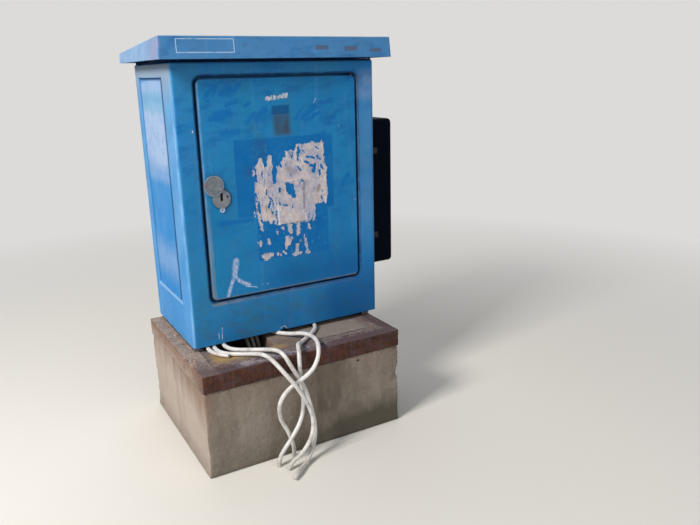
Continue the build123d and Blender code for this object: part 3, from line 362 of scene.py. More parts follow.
def pvcSheath(name, clean, soiled):
    # extruded PVC: smooth, slightly glossy, with soil rubbed into it
    coat = Coat(name, clean)
    nearGround = coat.ramp(coat.place[2], 0, 0.07, 0.85, 0)
    dirt = coat.times(coat.most(nearGround, coat.mottle(38, 5, 0.55, 0.45, 0.75)),
                      coat.mottle(140, 3, 0.55, 0.3, 0.6, 0.35, 1))
    coat.lay(soiled, dirt)
    coat.bump(coat.cloud(220, 2), 0.0002)
    return coat.finish({"Roughness": coat.ramp(dirt, 0, 1, 0.38, 0.75)})


whiteSheath = pvcSheath("white PVC cable sheath", "#d8d7d6", "#9d958d")
greySheath = pvcSheath("soiled PVC cable sheath", "#8d8a84", "#4b453e")
for cableName in cableRoutes:
    makeCable(cableName, greySheath if cableName.startswith("shaft") else whiteSheath)
print("cables laid:", len(cableRoutes))


# Floor, lights and world: a plain pale studio whose floor goes over into the background without an edge
studio = {
    "floor": "#dcdad6",
    "floorReach": 60.0,      # half of its width
    "fadeFrom": 0.8,         # metres from the middle where it starts to go over
    "fadeTo": 2.8,
    "lamps": (               # name, power, place, size, colour
        ("key", 152.0, (-2.75, -1.05, 2.75), 1.0, "#fffaf2"),      # from the left, as the sun stands
        ("fill", 20.0, (0.6, -3.0, 1.7), 2.4, "#f4f7ff"),
        ("top", 24.0, (0.5, 1.7, 2.8), 2.0, "#ffffff"),
    ),
    "aim": (0, 0, 0.5),
    "worldLight": 0.33,
    "background": "#dcdbd9",
}


def background(tree):
    # 1 where the camera sees it, or metal and glass show it
    rays = addNode(tree, "ShaderNodeLightPath").outputs
    seen = calc(tree, "MAXIMUM", rays["Is Camera Ray"], rays["Is Glossy Ray"])
    return calc(tree, "MAXIMUM", seen, rays["Is Transmission Ray"])


def makeFloor():
    half = studio["floorReach"]
    mesh = bpy.data.meshes.new("floor")
    mesh.from_pydata([(-half, -half, 0), (half, -half, 0), (half, half, 0), (-half, half, 0)], [], [(0, 1, 2, 3)])
    coat = Coat("plain pale floor", studio["floor"])
    coat.finish({"Roughness": 0.9})
    away = coat.vector("LENGTH", coat.coords)
    fade = coat.times(coat.ramp(away, studio["fadeFrom"], studio["fadeTo"]), background(coat.tree))
    glow = addNode(coat.tree, "ShaderNodeEmission", {"Color": colour(studio["background"])})
    mixed = addNode(coat.tree, "ShaderNodeMixShader", {0: fade, 1: coat.shader.outputs[0], 2: glow.outputs[0]})
    fill(coat.tree, coat.tree.nodes["Material Output"], {"Surface": mixed.outputs[0]})
    mesh.materials.append(coat.material)
    floor = bpy.data.objects.new("floor", mesh)
    scene.collection.objects.link(floor)
    floor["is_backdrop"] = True


def makeLamps():
    for name, power, place, size, tone in studio["lamps"]:
        light = bpy.data.lights.new(name, "AREA")
        light.energy = power
        light.size = size
        light.color = colour(tone)[:3]
        lamp = bpy.data.objects.new(name, light)
        lamp.location = place
        lamp.rotation_euler = (Vector(studio["aim"]) - Vector(place)).to_track_quat("-Z", "Y").to_euler()
        scene.collection.objects.link(lamp)


def makeWorld():
    world = bpy.data.worlds.new("studio")
    world.use_nodes = True
    scene.world = world
    tree = world.node_tree
    strength = ramp(tree, background(tree), 0, 1, studio["worldLight"], 1)
    fill(tree, tree.nodes["Background"], {"Color": colour(studio["background"]), "Strength": strength})


makeFloor()
makeLamps()
makeWorld()
scene.view_settings.view_transform = "Standard"
print("studio ready")


# Housing: glass-fibre polyester with a blue gelcoat. The sun has chalked it, rain and hands have rubbed the chalk
# away in strokes, so it shows a pale film over a deeper blue, dull where pale and half glossy where rubbed.
housing = {
    "door": {"rubbed": "#0062a6", "film": "#1f7db8", "chalk": "#7fb0d6", "greener": "#1a7a9f"},
    "shell": {"rubbed": "#0465a8", "film": "#277dba", "chalk": "#7fabd8", "greener": "#2a7ea3"},
    "roof": {"rubbed": "#25659f", "film": "#4682b8", "chalk": "#9cb3d0", "greener": "#4c7fa6"},
}


def gelcoat(name, look, marks=None):
    coat = Coat(name, look["rubbed"])
    # film in clouds about 120 mm across, rubbed in level strokes about 40 x 10 mm
    clouds = coat.mottle(8, 5, 0.6, 0.32, 0.66)
    leaning = put(coat.tree, "ShaderNodeMapping", {"Vector": coat.coords, "Rotation": (0, 0.2, 0)})
    strokes = coat.mottle((17, 17, 38), 6, 0.62, 0.5, 0.64, coords=leaning)
    strokes = coat.times(strokes, coat.ramp(coat.place[2], 0.55, 0.8, 0.35, 1))     # softer low down
    smears = coat.mottle((60, 60, 130), 4, 0.6, 0.52, 0.7)
    film = coat.calc("MULTIPLY_ADD", strokes, -0.65, 0.62)
    film = coat.calc("MULTIPLY_ADD", smears, -0.18, film)
    film = coat.calc("MULTIPLY_ADD", clouds, 0.48, film, clamp=True)
    coat.lay(look["film"], film)
    coat.lay(look["greener"], coat.mottle((9, 9, 6), 5, 0.65, 0.46, 0.64, 0, 0.4))
    # rain streaks about 9 mm wide
    coat.lay(look["chalk"], coat.mottle((60, 60, 6), 4, 0.65, 0.56, 0.8, 0, 0.11))
    # the left wall and every upward face are paler: partly real chalking, partly painted sunlight on the faces turned
    # to the light
    chalkyAndLitSides = coat.most(coat.ramp(coat.facing[0], -0.35, -0.9), coat.ramp(coat.facing[2], 0.35, 0.9))
    coat.lay(look["chalk"], chalkyAndLitSides, coat.mottle(9, 5, 0.65, 0.32, 0.62, 0.35, 1), 0.6)
    # soot specks about 2 mm, and soil splashed up low down
    grime = coat.times(coat.mottle(26, 6, 0.7, 0.44, 0.72), coat.ramp(coat.place[2], 0.278, 0.4, 0.56, 0.16))
    dirt = coat.most(coat.mottle(300, 2, 0.5, 0.68, 0.76, 0, 0.4), grime)
    coat.lay("#47525c", dirt)
    if marks:
        marks(coat)
    rough = coat.calc("ADD", coat.ramp(film, 0, 1, 0.34, 0.5), coat.times(chalkyAndLitSides, 0.36))
    # the mould's faint waviness, about 6 mm
    coat.bump(coat.cloud(160, 3), 0.0003, 0.6)
    return coat.finish({"Roughness": coat.calc("ADD", rough, coat.times(dirt, 0.15)), "IOR": 1.52,
                        "Specular IOR Level": 0.12})     # chalk scatters much of the gloss


# where the door's marks lie, (x, z) in metres
doorMarks = {
    "cleanWide": (-0.104, 0.162, 0.590, 0.777),       # left, right, low, high: where a poster kept the sun off
    "cleanNarrow": (-0.056, 0.142, 0.474, 0.592),
    "deeper": (-0.02, 0.30, 0.36, 0.475),
    "wisps": (-0.062, 0.142, 0.478, 0.764),
    "bruises": (((-0.037, 0.748), (-0.037, 0.758), 0.020), ((-0.0715, 0.695), (-0.0715, 0.705), 0.011)),
    "lock": (-0.143, 0.0, 0.642),
    "rubs": (            # where hands and branches rubbed the film off: start, end, half width
        ((-0.1269, 0.7947), (-0.0906, 0.7966), 0.0085), ((-0.1444, 0.8363), (-0.1081, 0.8402), 0.0100),
        ((-0.1545, 0.8276), (-0.1287, 0.8283), 0.0060), ((-0.0668, 0.8159), (-0.0484, 0.8344), 0.0070),
        ((-0.0436, 0.8238), (-0.0166, 0.8454), 0.0070), ((0.0586, 0.8184), (0.0741, 0.8370), 0.0045),
        ((0.0808, 0.8216), (0.1140, 0.8451), 0.0065), ((0.0978, 0.8164), (0.1260, 0.8324), 0.0045),
        ((-0.1652, 0.8759), (-0.1488, 0.8970), 0.0050), ((-0.1457, 0.8831), (-0.1379, 0.9006), 0.0050),
        ((-0.1243, 0.8843), (-0.1040, 0.8956), 0.0090), ((-0.0934, 0.8913), (-0.0816, 0.9030), 0.0065),
        ((-0.1132, 0.8599), (-0.0910, 0.8650), 0.0060), ((-0.0696, 0.8539), (-0.0579, 0.8616), 0.0050),
        ((0.1111, 0.7762), (0.1418, 0.7809), 0.0045), ((0.1870, 0.6421), (0.2066, 0.6684), 0.0060),
        ((-0.1481, 0.5810), (-0.0699, 0.5819), 0.0060),
    ),
    "glueSquare": (-0.001, 0.045, 0.831, 0.853),
    "glueBrown": (0.002, 0.046, 0.782, 0.832),
    "scratches": (       # start, end, half width
        ((-0.1176, 0.4840), (-0.1206, 0.4660), 0.0100), ((-0.1206, 0.4660), (-0.1236, 0.4480), 0.0082),
        ((-0.1236, 0.4480), (-0.1330, 0.4275), 0.0056), ((-0.1330, 0.4275), (-0.1400, 0.4080), 0.0060),
        ((-0.1400, 0.4080), (-0.1440, 0.3990), 0.0056), ((-0.1225, 0.4470), (-0.1130, 0.4330), 0.0044),
        ((-0.1130, 0.4330), (-0.1000, 0.4240), 0.0062), ((-0.1000, 0.4240), (-0.0870, 0.4180), 0.0064),
        ((-0.0960, 0.4150), (-0.0670, 0.4080), 0.0020), ((-0.0525, 0.4130), (-0.0515, 0.4133), 0.0012),
        ((-0.0385, 0.4110), (-0.0370, 0.4122), 0.0012), ((-0.0300, 0.3958), (-0.0295, 0.3965), 0.0011),
        ((0.1130, 0.8550), (0.1190, 0.8660), 0.0013), ((0.1820, 0.7925), (0.1822, 0.7945), 0.0016),
        ((0.2260, 0.5985), (0.2262, 0.6000), 0.0015),
    ),
}


def markDoor(coat):
    x, z = coat.place[0], coat.place[2]
    ragged = coat.stray(-0.003, 0.006, 90, 4, 0.6)
    across, up = coat.calc("ADD", x, ragged), coat.calc("ADD", z, ragged)
    front = coat.ramp(coat.facing[1], -0.8, -0.95)
    plain = coat.base
    coat.lay("#0566ad", coat.ramp(coat.nearest(doorMarks["rubs"], coat.wobble(70, 0.02)), 1.3, 0.5, 0, 0.8))
    coat.lay("#005292", coat.patch(across, up, *doorMarks["deeper"], 0.1), 0.6)
    clean = coat.most(coat.patch(across, up, *doorMarks["cleanWide"], 0.003),
                      coat.patch(across, up, *doorMarks["cleanNarrow"], 0.004))
    coat.lay("#0063a8", clean, coat.mottle(22, 4, 0.6, 0.3, 0.6, 0.55, 0.92))
    coat.lay("#064a80", coat.patch(across, up, *doorMarks["glueSquare"], 0.004), 0.8)
    coat.lay("#3f3534", coat.patch(across, up, *doorMarks["glueBrown"], 0.012),
             coat.mottle(34, 4, 0.55, 0.34, 0.6, 0.45, 0.72), coat.ramp(z, 0.836, 0.815, 0.75, 1.1))
    for start, end, halfWidth in doorMarks["bruises"]:
        coat.lay("#2b4c78", coat.stroke(start, end, halfWidth, 0.008), coat.mottle(60, 4, 0.55, 0.36, 0.62, 0.1, 0.5))
    # paper fibre left round the poster, in fine upright wisps
    coat.lay("#559fcd", coat.patch(across, up, *doorMarks["wisps"], 0.012),
             coat.mottle((110, 110, 60), 5, 0.72, 0.58, 0.66, 0, 0.5), front)
    coat.base = coat.mix(front, plain, coat.base)
    # scratches through the film: bruised blue at the sides, down to the pale laminate in the middle
    nearest = coat.nearest(doorMarks["scratches"], coat.wobble(260, 0.0045))
    pitted = coat.mottle((190, 190, 110), 4, 0.7, 0.4, 0.58, 0.1, 0.95)
    coat.lay("#6595cb", coat.ramp(nearest, 1.15, 0.6, 0, 0.8), front)
    coat.lay("#b4c3da", coat.ramp(nearest, 0.85, 0.4), pitted, front)
    # a darker ring round the escutcheon, stronger on its right, and a painted highlight along the door's rounded left
    # edge
    coat.lay("#17365c", coat.ramp(coat.awayFrom(doorMarks["lock"]), 0.0275, 0.0235),
             coat.ramp(x, -0.16, -0.13, 0.45, 0.95))
    coat.lay("#7fa6d2", coat.ramp(across, -0.177, -0.18), coat.mottle(50, 4, 0.55, 0.3, 0.6, 0.1, 0.45),
             coat.ramp(z, 0.46, 0.7, 0.1, 1))
    # gelcoat worn off the lower part of the door's left edge and along its bottom edge
    sideWear = coat.times(coat.ramp(across, -0.1712, -0.175), coat.ramp(z, 0.66, 0.54))
    footWear = coat.ramp(up, 0.3975, 0.3945)
    laminate = coat.mix(coat.ramp(z, 0.56, 0.42), colour("#7b93a6"), colour("#8d867f"))
    coat.lay(laminate, coat.most(sideWear, footWear), coat.mottle((120, 120, 26), 4, 0.65, 0.34, 0.56, 0.2, 0.55))
    # painted shade on the door's left-facing edge faces, stronger the more they face left
    coat.lay("#174a6e", coat.ramp(coat.facing[0], -0.2, -0.75, 0, 0.6))


# where the shell's marks lie; on the front (left, right, low, high), all in metres
shellMarks = {
    "recess": {"floorX": -0.2365, "front": -0.025, "rear": 0.191, "low": 0.381, "high": 0.924},
    "recessBleachAndReflection": (          # pale bands, partly sun-bleached film, partly painted sky reflection: low, high, soft, strength
        (0.886, 0.921, 0.012, 0.80), (0.846, 0.896, 0.018, 0.45), (0.712, 0.852, 0.030, 1.0),
        (0.672, 0.716, 0.020, 0.45), (0.425, 0.505, 0.050, 0.40),
    ),
    "recessGreenish": (0.838, 0.893, 0.014),
    "opening": (-0.1893, 0.2383, 0.386, 0.9243),
    "openingRadius": 0.018,
    "bleached": (0.243, 0.300, 0.855, 0.925),
    "faded": (0.246, 0.300, 0.50, 0.87),
    "deeper": (0.11, 0.40, 0.22, 0.40),
    "scratches": (           # start, end, half width
        ((-0.166, 0.320), (-0.1685, 0.287), 0.0009), ((-0.1765, 0.306), (-0.176, 0.292), 0.0008),
        ((-0.1995, 0.800), (-0.1995, 0.804), 0.0014), ((-0.0070, 0.2845), (0.0020, 0.2885), 0.0013),
        ((0.0020, 0.2885), (0.0090, 0.2810), 0.0013),
    ),
    "hole": ((0.2855, 0.838), (0.2858, 0.842), 0.0022),
}


def markShell(coat):
    x, y, z = coat.place
    leftWall = coat.ramp(coat.facing[0], -0.7, -0.95)
    # a painted highlight along the rounded front-left corner, and the left wall a cleaner blue low down
    coat.lay("#8fbbe4", coat.ramp(x, -0.2355, -0.2395), coat.ramp(y, -0.08, -0.086),
             coat.mottle((120, 120, 14), 4, 0.55, 0.38, 0.6, 0, 0.6))
    coat.lay("#3d89cf", leftWall, coat.ramp(z, 0.72, 0.4), 0.55)
    # the recess: deeper blue where it was sheltered, pale and greenish in bands, partly bleached film and partly
    # painted sky reflection
    floorX, front, rear, low, high = shellMarks["recess"].values()
    inside = coat.times(coat.between(x, floorX - 0.0012, floorX + 0.0012, 0.001),
                        coat.patch(y, z, front, rear, low, high, 0.001))
    coat.lay("#2a7cbf", inside, coat.mottle((20, 20, 9), 5, 0.65, 0.35, 0.6, 0.35, 0.75))
    up = coat.calc("ADD", z, coat.stray(-0.025, 0.05, 26, 5, 0.65))
    for start, end, soft, strength in shellMarks["recessBleachAndReflection"]:
        coat.lay("#98aed0", coat.between(up, start, end, soft), strength, inside,
                 coat.mottle(45, 4, 0.55, 0.3, 0.5, 0.6, 0.95))
    coat.lay("#6fa6bd", coat.between(up, *shellMarks["recessGreenish"]), inside, 0.4)
    # painted shadow in its front and upper corners, where the rims shade the recess floor; a painted highlight on its
    # lower ledge and its rear step
    corners = coat.most(coat.ramp(y, 0.01, 0), coat.ramp(z, high - 0.009, high - 0.004))
    coat.lay("#123a66", corners, inside, 0.85)
    leftSide = coat.ramp(x, -0.235, -0.236)
    coat.lay("#a9cbee", coat.between(z, low - 0.0055, low + 0.0006, 0.0006), leftSide,
             coat.between(y, front - 0.004, rear + 0.004, 0.002), 0.45)
    coat.lay("#6d9fd2", coat.between(y, rear - 0.001, rear + 0.003, 0.001), leftSide, 0.6)
    # the rounded rim of the door opening: painted shade of the door gap round it, dust on its lower part
    front = coat.ramp(y, -0.07, -0.08)
    left, right, low, high = shellMarks["opening"]
    corner = shellMarks["openingRadius"]
    fromMiddle = coat.vector("SUBTRACT", coat.coords, ((left + right) / 2, 0, (low + high) / 2))
    fromMiddle = coat.vector("ABSOLUTE", coat.vector("MULTIPLY", fromMiddle, (1, 0, 1)))
    over = coat.vector("SUBTRACT", fromMiddle, ((right - left) / 2 - corner, 0, (high - low) / 2 - corner))
    beyond = coat.vector("LENGTH", coat.vector("MAXIMUM", over, (0, 0, 0)))
    coat.lay("#0d2f57", coat.ramp(beyond, corner + 0.0062, corner + 0.0028), front,
             coat.mottle(35, 4, 0.55, 0.28, 0.5, 0.45, 0.85))
    coat.lay("#8b8d96", coat.patch(x, z, left + 0.002, right - 0.02, low - 0.0085, low - 0.002, 0.003), front,
             coat.ramp(x, left + 0.02, left + 0.14, 0.85, 0.22),
             coat.mottle((50, 50, 90), 5, 0.7, 0.32, 0.54, 0.25, 0.95))
    # bleached at the upper right of the frame, less so below it
    pale = coat.most(coat.times(coat.patch(x, z, *shellMarks["bleached"], 0.03), 0.75),
                     coat.times(coat.patch(x, z, *shellMarks["faded"], 0.1), 0.35))
    coat.lay("#7b9cc9", pale, front, coat.mottle(30, 5, 0.55, 0.3, 0.56, 0.45, 1))
    # grey-green wash below the door, upright scratches by the lower left corner, a small hole drawn as painted shade
    coat.lay("#3d6874", coat.ramp(coat.facing[1], -0.8, -0.95), coat.between(z, 0.3, 0.385, 0.06),
             coat.mottle((30, 30, 60), 5, 0.65, 0.46, 0.66, 0, 0.5))
    pitted = coat.mottle(330, 3, 0.6, 0.4, 0.52)
    for start, end, halfWidth in shellMarks["scratches"]:
        coat.lay("#c4cedb", coat.stroke(start, end, halfWidth, 0.0006), pitted, front)
    coat.lay("#101c33", coat.stroke(*shellMarks["hole"], 0.0012), front)
    # deeper and cleaner at the lower right, greyer high on the left wall
    coat.lay("#00508f", coat.patch(x, z, *shellMarks["deeper"], 0.1), front, 0.65)
    coat.lay("#8d99a8", leftWall, coat.ramp(z, 0.85, 0.935, 0, 0.75), coat.calc("SUBTRACT", 1, inside))


# marks on the hood's front, (left, right, low, high) in metres
roofMarks = {
    "outline": (-0.2315, -0.0990, 0.9735, 1.0035),     # a blank, faded frame
    "outlineWidth": 0.0016,
    "smudges": (((0.104, 0.140, 0.979, 0.989), 0.8), ((0.184, 0.219, 0.977, 0.987), 0.8),      # with their strength
                ((0.256, 0.289, 0.974, 0.982), 0.8), ((-0.079, -0.069, 0.985, 0.993), 0.35)),
    "crack": (0.0768, 0.0788, 0.0006),                 # on the left end: front, rear, soft
}


def markRoof(coat):
    x, y, z = coat.place
    front = coat.ramp(coat.facing[1], -0.7, -0.9)
    left, right, low, high = roofMarks["outline"]
    line = roofMarks["outlineWidth"]
    outside = coat.patch(x, z, left, right, low, high, 0.0006)
    inside = coat.patch(x, z, left + line, right - line, low + line, high - line, 0.0006)
    coat.lay("#b9d0ea", coat.calc("SUBTRACT", outside, inside), front,
             coat.mottle(60, 4, 0.55, 0.3, 0.48, 0.25, 0.85))
    ragged = coat.stray(-0.005, 0.01, 190, 4, 0.7)
    across, up = coat.calc("ADD", x, ragged), coat.calc("ADD", z, ragged)
    for reach, strength in roofMarks["smudges"]:
        coat.lay("#54586a", coat.patch(across, up, *reach, 0.003), front, strength)
    # the left end: a pinkish bloom and a grey one near its front, and a hairline crack
    coat.lay("#a08cb4", coat.ramp(x, -0.262, -0.271), coat.ramp(y, -0.02, -0.1),
             coat.mottle(22, 4, 0.55, 0.36, 0.62, 0, 0.6))
    leftEnd = coat.ramp(coat.facing[0], -0.7, -0.9)
    coat.lay("#7686a6", leftEnd, coat.ramp(y, 0.01, -0.09, 0, 0.5))
    coat.lay("#51678c", leftEnd, coat.between(y, *roofMarks["crack"]), 0.45)
    # dust lying on the top
    coat.lay("#8f9089", coat.ramp(coat.facing[2], 0.5, 0.95), coat.mottle(14, 6, 0.7, 0.34, 0.66, 0.15, 0.75))


paint(["cabinet_shell", "vent_collar"], gelcoat("blue glass-fibre housing", housing["shell"], markShell))
paint(["roof_cap"], gelcoat("blue glass-fibre roof", housing["roof"], markRoof))
paint(["door_panel"], gelcoat("blue glass-fibre door", housing["door"], markDoor))
print("housing painted")


# Worn-down copies of CAD nodes: a closed, even mesh whose points are then moved
def wearPiece(name, grain, move, material):
    closed = nodes[name].data.copy()
    bm = bmesh.new()
    bm.from_mesh(closed)
    bmesh.ops.remove_doubles(bm, verts=bm.verts, dist=0.00001)
    bm.to_mesh(closed)
    bm.free()
    mesh = modified(closed, "REMESH", mode="VOXEL", voxel_size=grain)
    bpy.data.meshes.remove(closed)
    normals = [v.normal.copy() for v in mesh.vertices]
    for vertex, normal in zip(mesh.vertices, normals):
        vertex.co = move(vertex.co.copy(), normal)
    mesh.shade_smooth()
    piece = newPiece("worn_" + name, mesh, material, "base")
    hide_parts(name)
    return piece


# Plinth: cast in place between boards, its corners crumbled and its faces pitted
plinth = {
    "grain": 0.0048,
    "halfWidth": 0.270,
    "halfDepth": 0.230,
    "angleLow": 0.220,       # lower edge of the steel angle
    "top": 0.260,
    "wave": 0.0014,          # unevenness of the faces, in waves about 90 mm long
    "pits": 0.0009,
    "chip": 0.013,           # deepest chips at the upright corners
    "chipReach": 0.020,
    "topWear": 0.0030,
}


def wearPlinth(p, n):
    if p.z < 0.004:
        return p             # it stays flat where it stands
    settle = min(1.0, (p.z - 0.004) / 0.02)
    away = 0.0008 + plinth["wave"] * (0.5 + 0.5 * noise.noise(p * 11.0))
    away += plinth["pits"] * max(0.0, noise.noise(p * 130.0) + 0.1) * 2.0
    edgeX, edgeY = plinth["halfWidth"] - abs(p.x), plinth["halfDepth"] - abs(p.y)
    corner = math.hypot(edgeX, edgeY)
    if corner < plinth["chipReach"] * 1.5 and p.z < plinth["angleLow"]:
        crumble = (1.5 if p.y < 0 else 0.8) if p.x > 0 else 0.25
        rough = 0.75 * noise.noise(Vector((p.x * 14, p.y * 14, p.z * 17))) + 0.55 * noise.noise(p * 47.0)
        rough += 0.3 * noise.noise(p * 120.0) + 0.12
        away += plinth["chip"] * crumble * max(0.0, rough) * max(0.0, 1 - corner / (plinth["chipReach"] * 1.5))
    below = plinth["angleLow"] - p.z
    if 0 < below < 0.016 and min(edgeX, edgeY) < 0.004:
        away += 0.0035 * max(0.0, noise.noise(p * 38.0)) * (1 - below / 0.016)
    if p.z > plinth["top"] - 0.006 and n.z > 0.5:
        away = plinth["topWear"] * (0.35 + 0.5 * noise.noise(p * 24.0) + 0.3 * noise.noise(p * 110.0))
        away = max(0.0002, away)
    return p - n * away * settle


# where its marks lie, in metres
concreteMarks = {
    "stain": (-0.03, 0.15, 0.07, 0.235),               # on the front: left, right, low, high
    "hole": ((0.1420, 0.2065), (0.1445, 0.2070), 0.0028),
    "damper": ((-0.020, -0.160, 0.0), 0.060),          # on the top: centre, reach
    "ochre": (((-0.190, -0.150, 0.0), 0.040), ((-0.140, -0.178, 0.0), 0.022), ((-0.044, -0.158, 0.0), 0.016)),
    "crackAcross": (0.06, 0.205, 0.01),                # left, right, soft
    "crackAlong": (-0.1640, -0.1598, 0.001),
    "shaft": (-0.184, -0.046, -0.142, 0.112),          # left, right, front, rear
}


def castConcrete(name):
    # cast concrete gone brown with soil: board-smooth faces, fine sand grain, pits, rain and rust runs
    coat = Coat(name, "#6c645b")
    x, y, z = coat.place
    coat.lay("#8b8278", coat.mottle(9, 6, 0.62, 0.3, 0.68))
    grit = coat.cloud(420, 3, 0.6)
    coat.lay("#b9b0a4", coat.ramp(grit, 0.35, 0.7, 0, 0.3))
    # left face pinker, and painted paler as sunlight falls on it
    left = coat.ramp(coat.facing[0], -0.5, -0.9)
    coat.lay("#b7aaa2", left, 0.75)
    # upright runs of dirty water, about 15 mm wide
    coat.lay("#63594d", coat.mottle((34, 34, 5), 5, 0.65, 0.46, 0.7, 0, 0.42), coat.ramp(left, 0, 1, 1, 0.45))
    coat.lay("#6f665b", coat.mottle(19, 6, 0.7, 0.5, 0.66, 0, 0.45), coat.ramp(left, 0, 1, 1, 0.4))
    # rust washed down from the angle, strongest on the left face and by the front corner
    reach = coat.stray(z, 0.16, (34, 34, 5), 4, 0.6)
    reach = coat.calc("ADD", reach, coat.ramp(y, -0.2, 0.05, 0.03, -0.03))      # it ran lowest near the front corner
    side = coat.most(left, coat.ramp(x, -0.225, -0.265, 0, 0.8))
    coat.lay("#745744", coat.ramp(reach, 0.21, 0.3), coat.most(coat.times(side, 0.85), 0.22), 0.8)
    coat.lay("#5b4538", coat.ramp(coat.stray(z, 0.06, (110, 110, 7), 4, 0.65), 0.24, 0.262, 0, 0.55),
             coat.ramp(z, 0.262, 0.24))
    # dark wet stain on the front behind the cables
    coat.lay("#51483d", coat.patch(x, z, *concreteMarks["stain"], 0.05), coat.ramp(coat.facing[1], -0.5, -0.9),
             coat.mottle((24, 24, 9), 5, 0.65, 0.42, 0.62, 0, 0.6))
    # damp foot with moss, higher towards the right
    foot = coat.calc("SUBTRACT", coat.stray(z, -0.075, (22, 22, 14), 5, 0.7), coat.ramp(x, -0.04, 0.12, 0, 0.038))
    damp = coat.times(coat.ramp(foot, 0.022, -0.03), coat.ramp(x, -0.2, 0.1, 0.45, 1))
    coat.lay("#3d382a", damp, 0.85)
    # top: pinkish grey mortar, ochre stained at the front left, with one crack
    top = coat.times(coat.ramp(coat.facing[2], 0.4, 0.8), coat.ramp(z, 0.246, 0.252))
    coat.lay("#857b75", top, 0.65)
    astray = coat.wobble(34, 0.06)
    coat.lay("#5e4b46", coat.spot(*concreteMarks["damper"], 0.03, astray), top, 0.6)
    ochre = coat.most(*[coat.spot(centre, reach, 0.014, astray) for centre, reach in concreteMarks["ochre"]])
    coat.lay("#a0834e", ochre, coat.mottle(60, 5, 0.7, 0.3, 0.56, 0.45, 0.95), top)
    # rust crept in from the angle round it
    nearAngle = coat.most(coat.ramp(coat.calc("ABSOLUTE", x), 0.198, 0.224),
                          coat.ramp(coat.calc("ABSOLUTE", y), 0.16, 0.184))
    coat.lay("#63535a", nearAngle, top, coat.mottle(50, 5, 0.7, 0.34, 0.56, 0.15, 0.9))
    crack = coat.times(coat.between(coat.stray(y, 0.016, 40, 5, 0.7), *concreteMarks["crackAlong"]),
                       coat.between(x, *concreteMarks["crackAcross"]), top)
    coat.lay("#2c2622", crack, 0.9)
    # a broken-out pebble's hole in the front, its depth drawn as painted shade
    coat.lay("#1f1b17", coat.stroke(*concreteMarks["hole"], 0.0009), coat.ramp(coat.facing[1], -0.5, -0.9))
    # painted shade inside the shaft
    coat.lay("#37322c", coat.patch(x, y, *concreteMarks["shaft"], 0.004), coat.ramp(z, 0.262, 0.235), 0.8)
    height = coat.calc("MULTIPLY_ADD", grit, 0.25, coat.mottle(190, 2, 0.5, 0.3, 0.42))
    coat.bump(coat.calc("MULTIPLY_ADD", crack, -2, height), 0.0009, 0.8)
    return coat.finish({"Roughness": coat.ramp(damp, 0, 1, 0.94, 0.72), "IOR": 1.5})


wearPiece("plinth_block", plinth["grain"], wearPlinth, castConcrete("cast concrete plinth"))
print("plinth worn")


# Angle frame: rolled steel angle, unpainted, scaled with rust and flaking on its left leg
angle = {
    "grain": 0.0024,
    "scale": 0.0007,         # depth of the rust's relief
    "eaten": 0.0040,         # how far the thin edges are eaten back
    "lime": (-0.175, 0.070, -0.222, -0.180),     # left over on the top: left, right, front, rear
}


def wearAngle(p, n):
    away = angle["scale"] * (noise.noise(p * 55.0) + 0.6 * noise.noise(p * 170.0))
    left = 1.0 if p.x < -0.2245 else 0.45
    lowEdge = max(0.0, 1 - (p.z - 0.220) / 0.006) * (0.3 if p.x < -0.266 else 1.0)
    innerEdge = max(0.0, 1 - min(abs(abs(p.x) - 0.225), abs(abs(p.y) - 0.185)) / 0.006) if p.z > 0.2545 else 0.0
    bite = max(0.0, noise.noise(p * 34.0) + 0.25 * noise.noise(p * 120.0)) * left * angle["eaten"]
    moved = p - n * max(-0.0003, away)
    moved.z += bite * lowEdge
    if innerEdge > 0 and abs(n.z) < 0.75:
        moved -= n * bite * innerEdge
    return moved


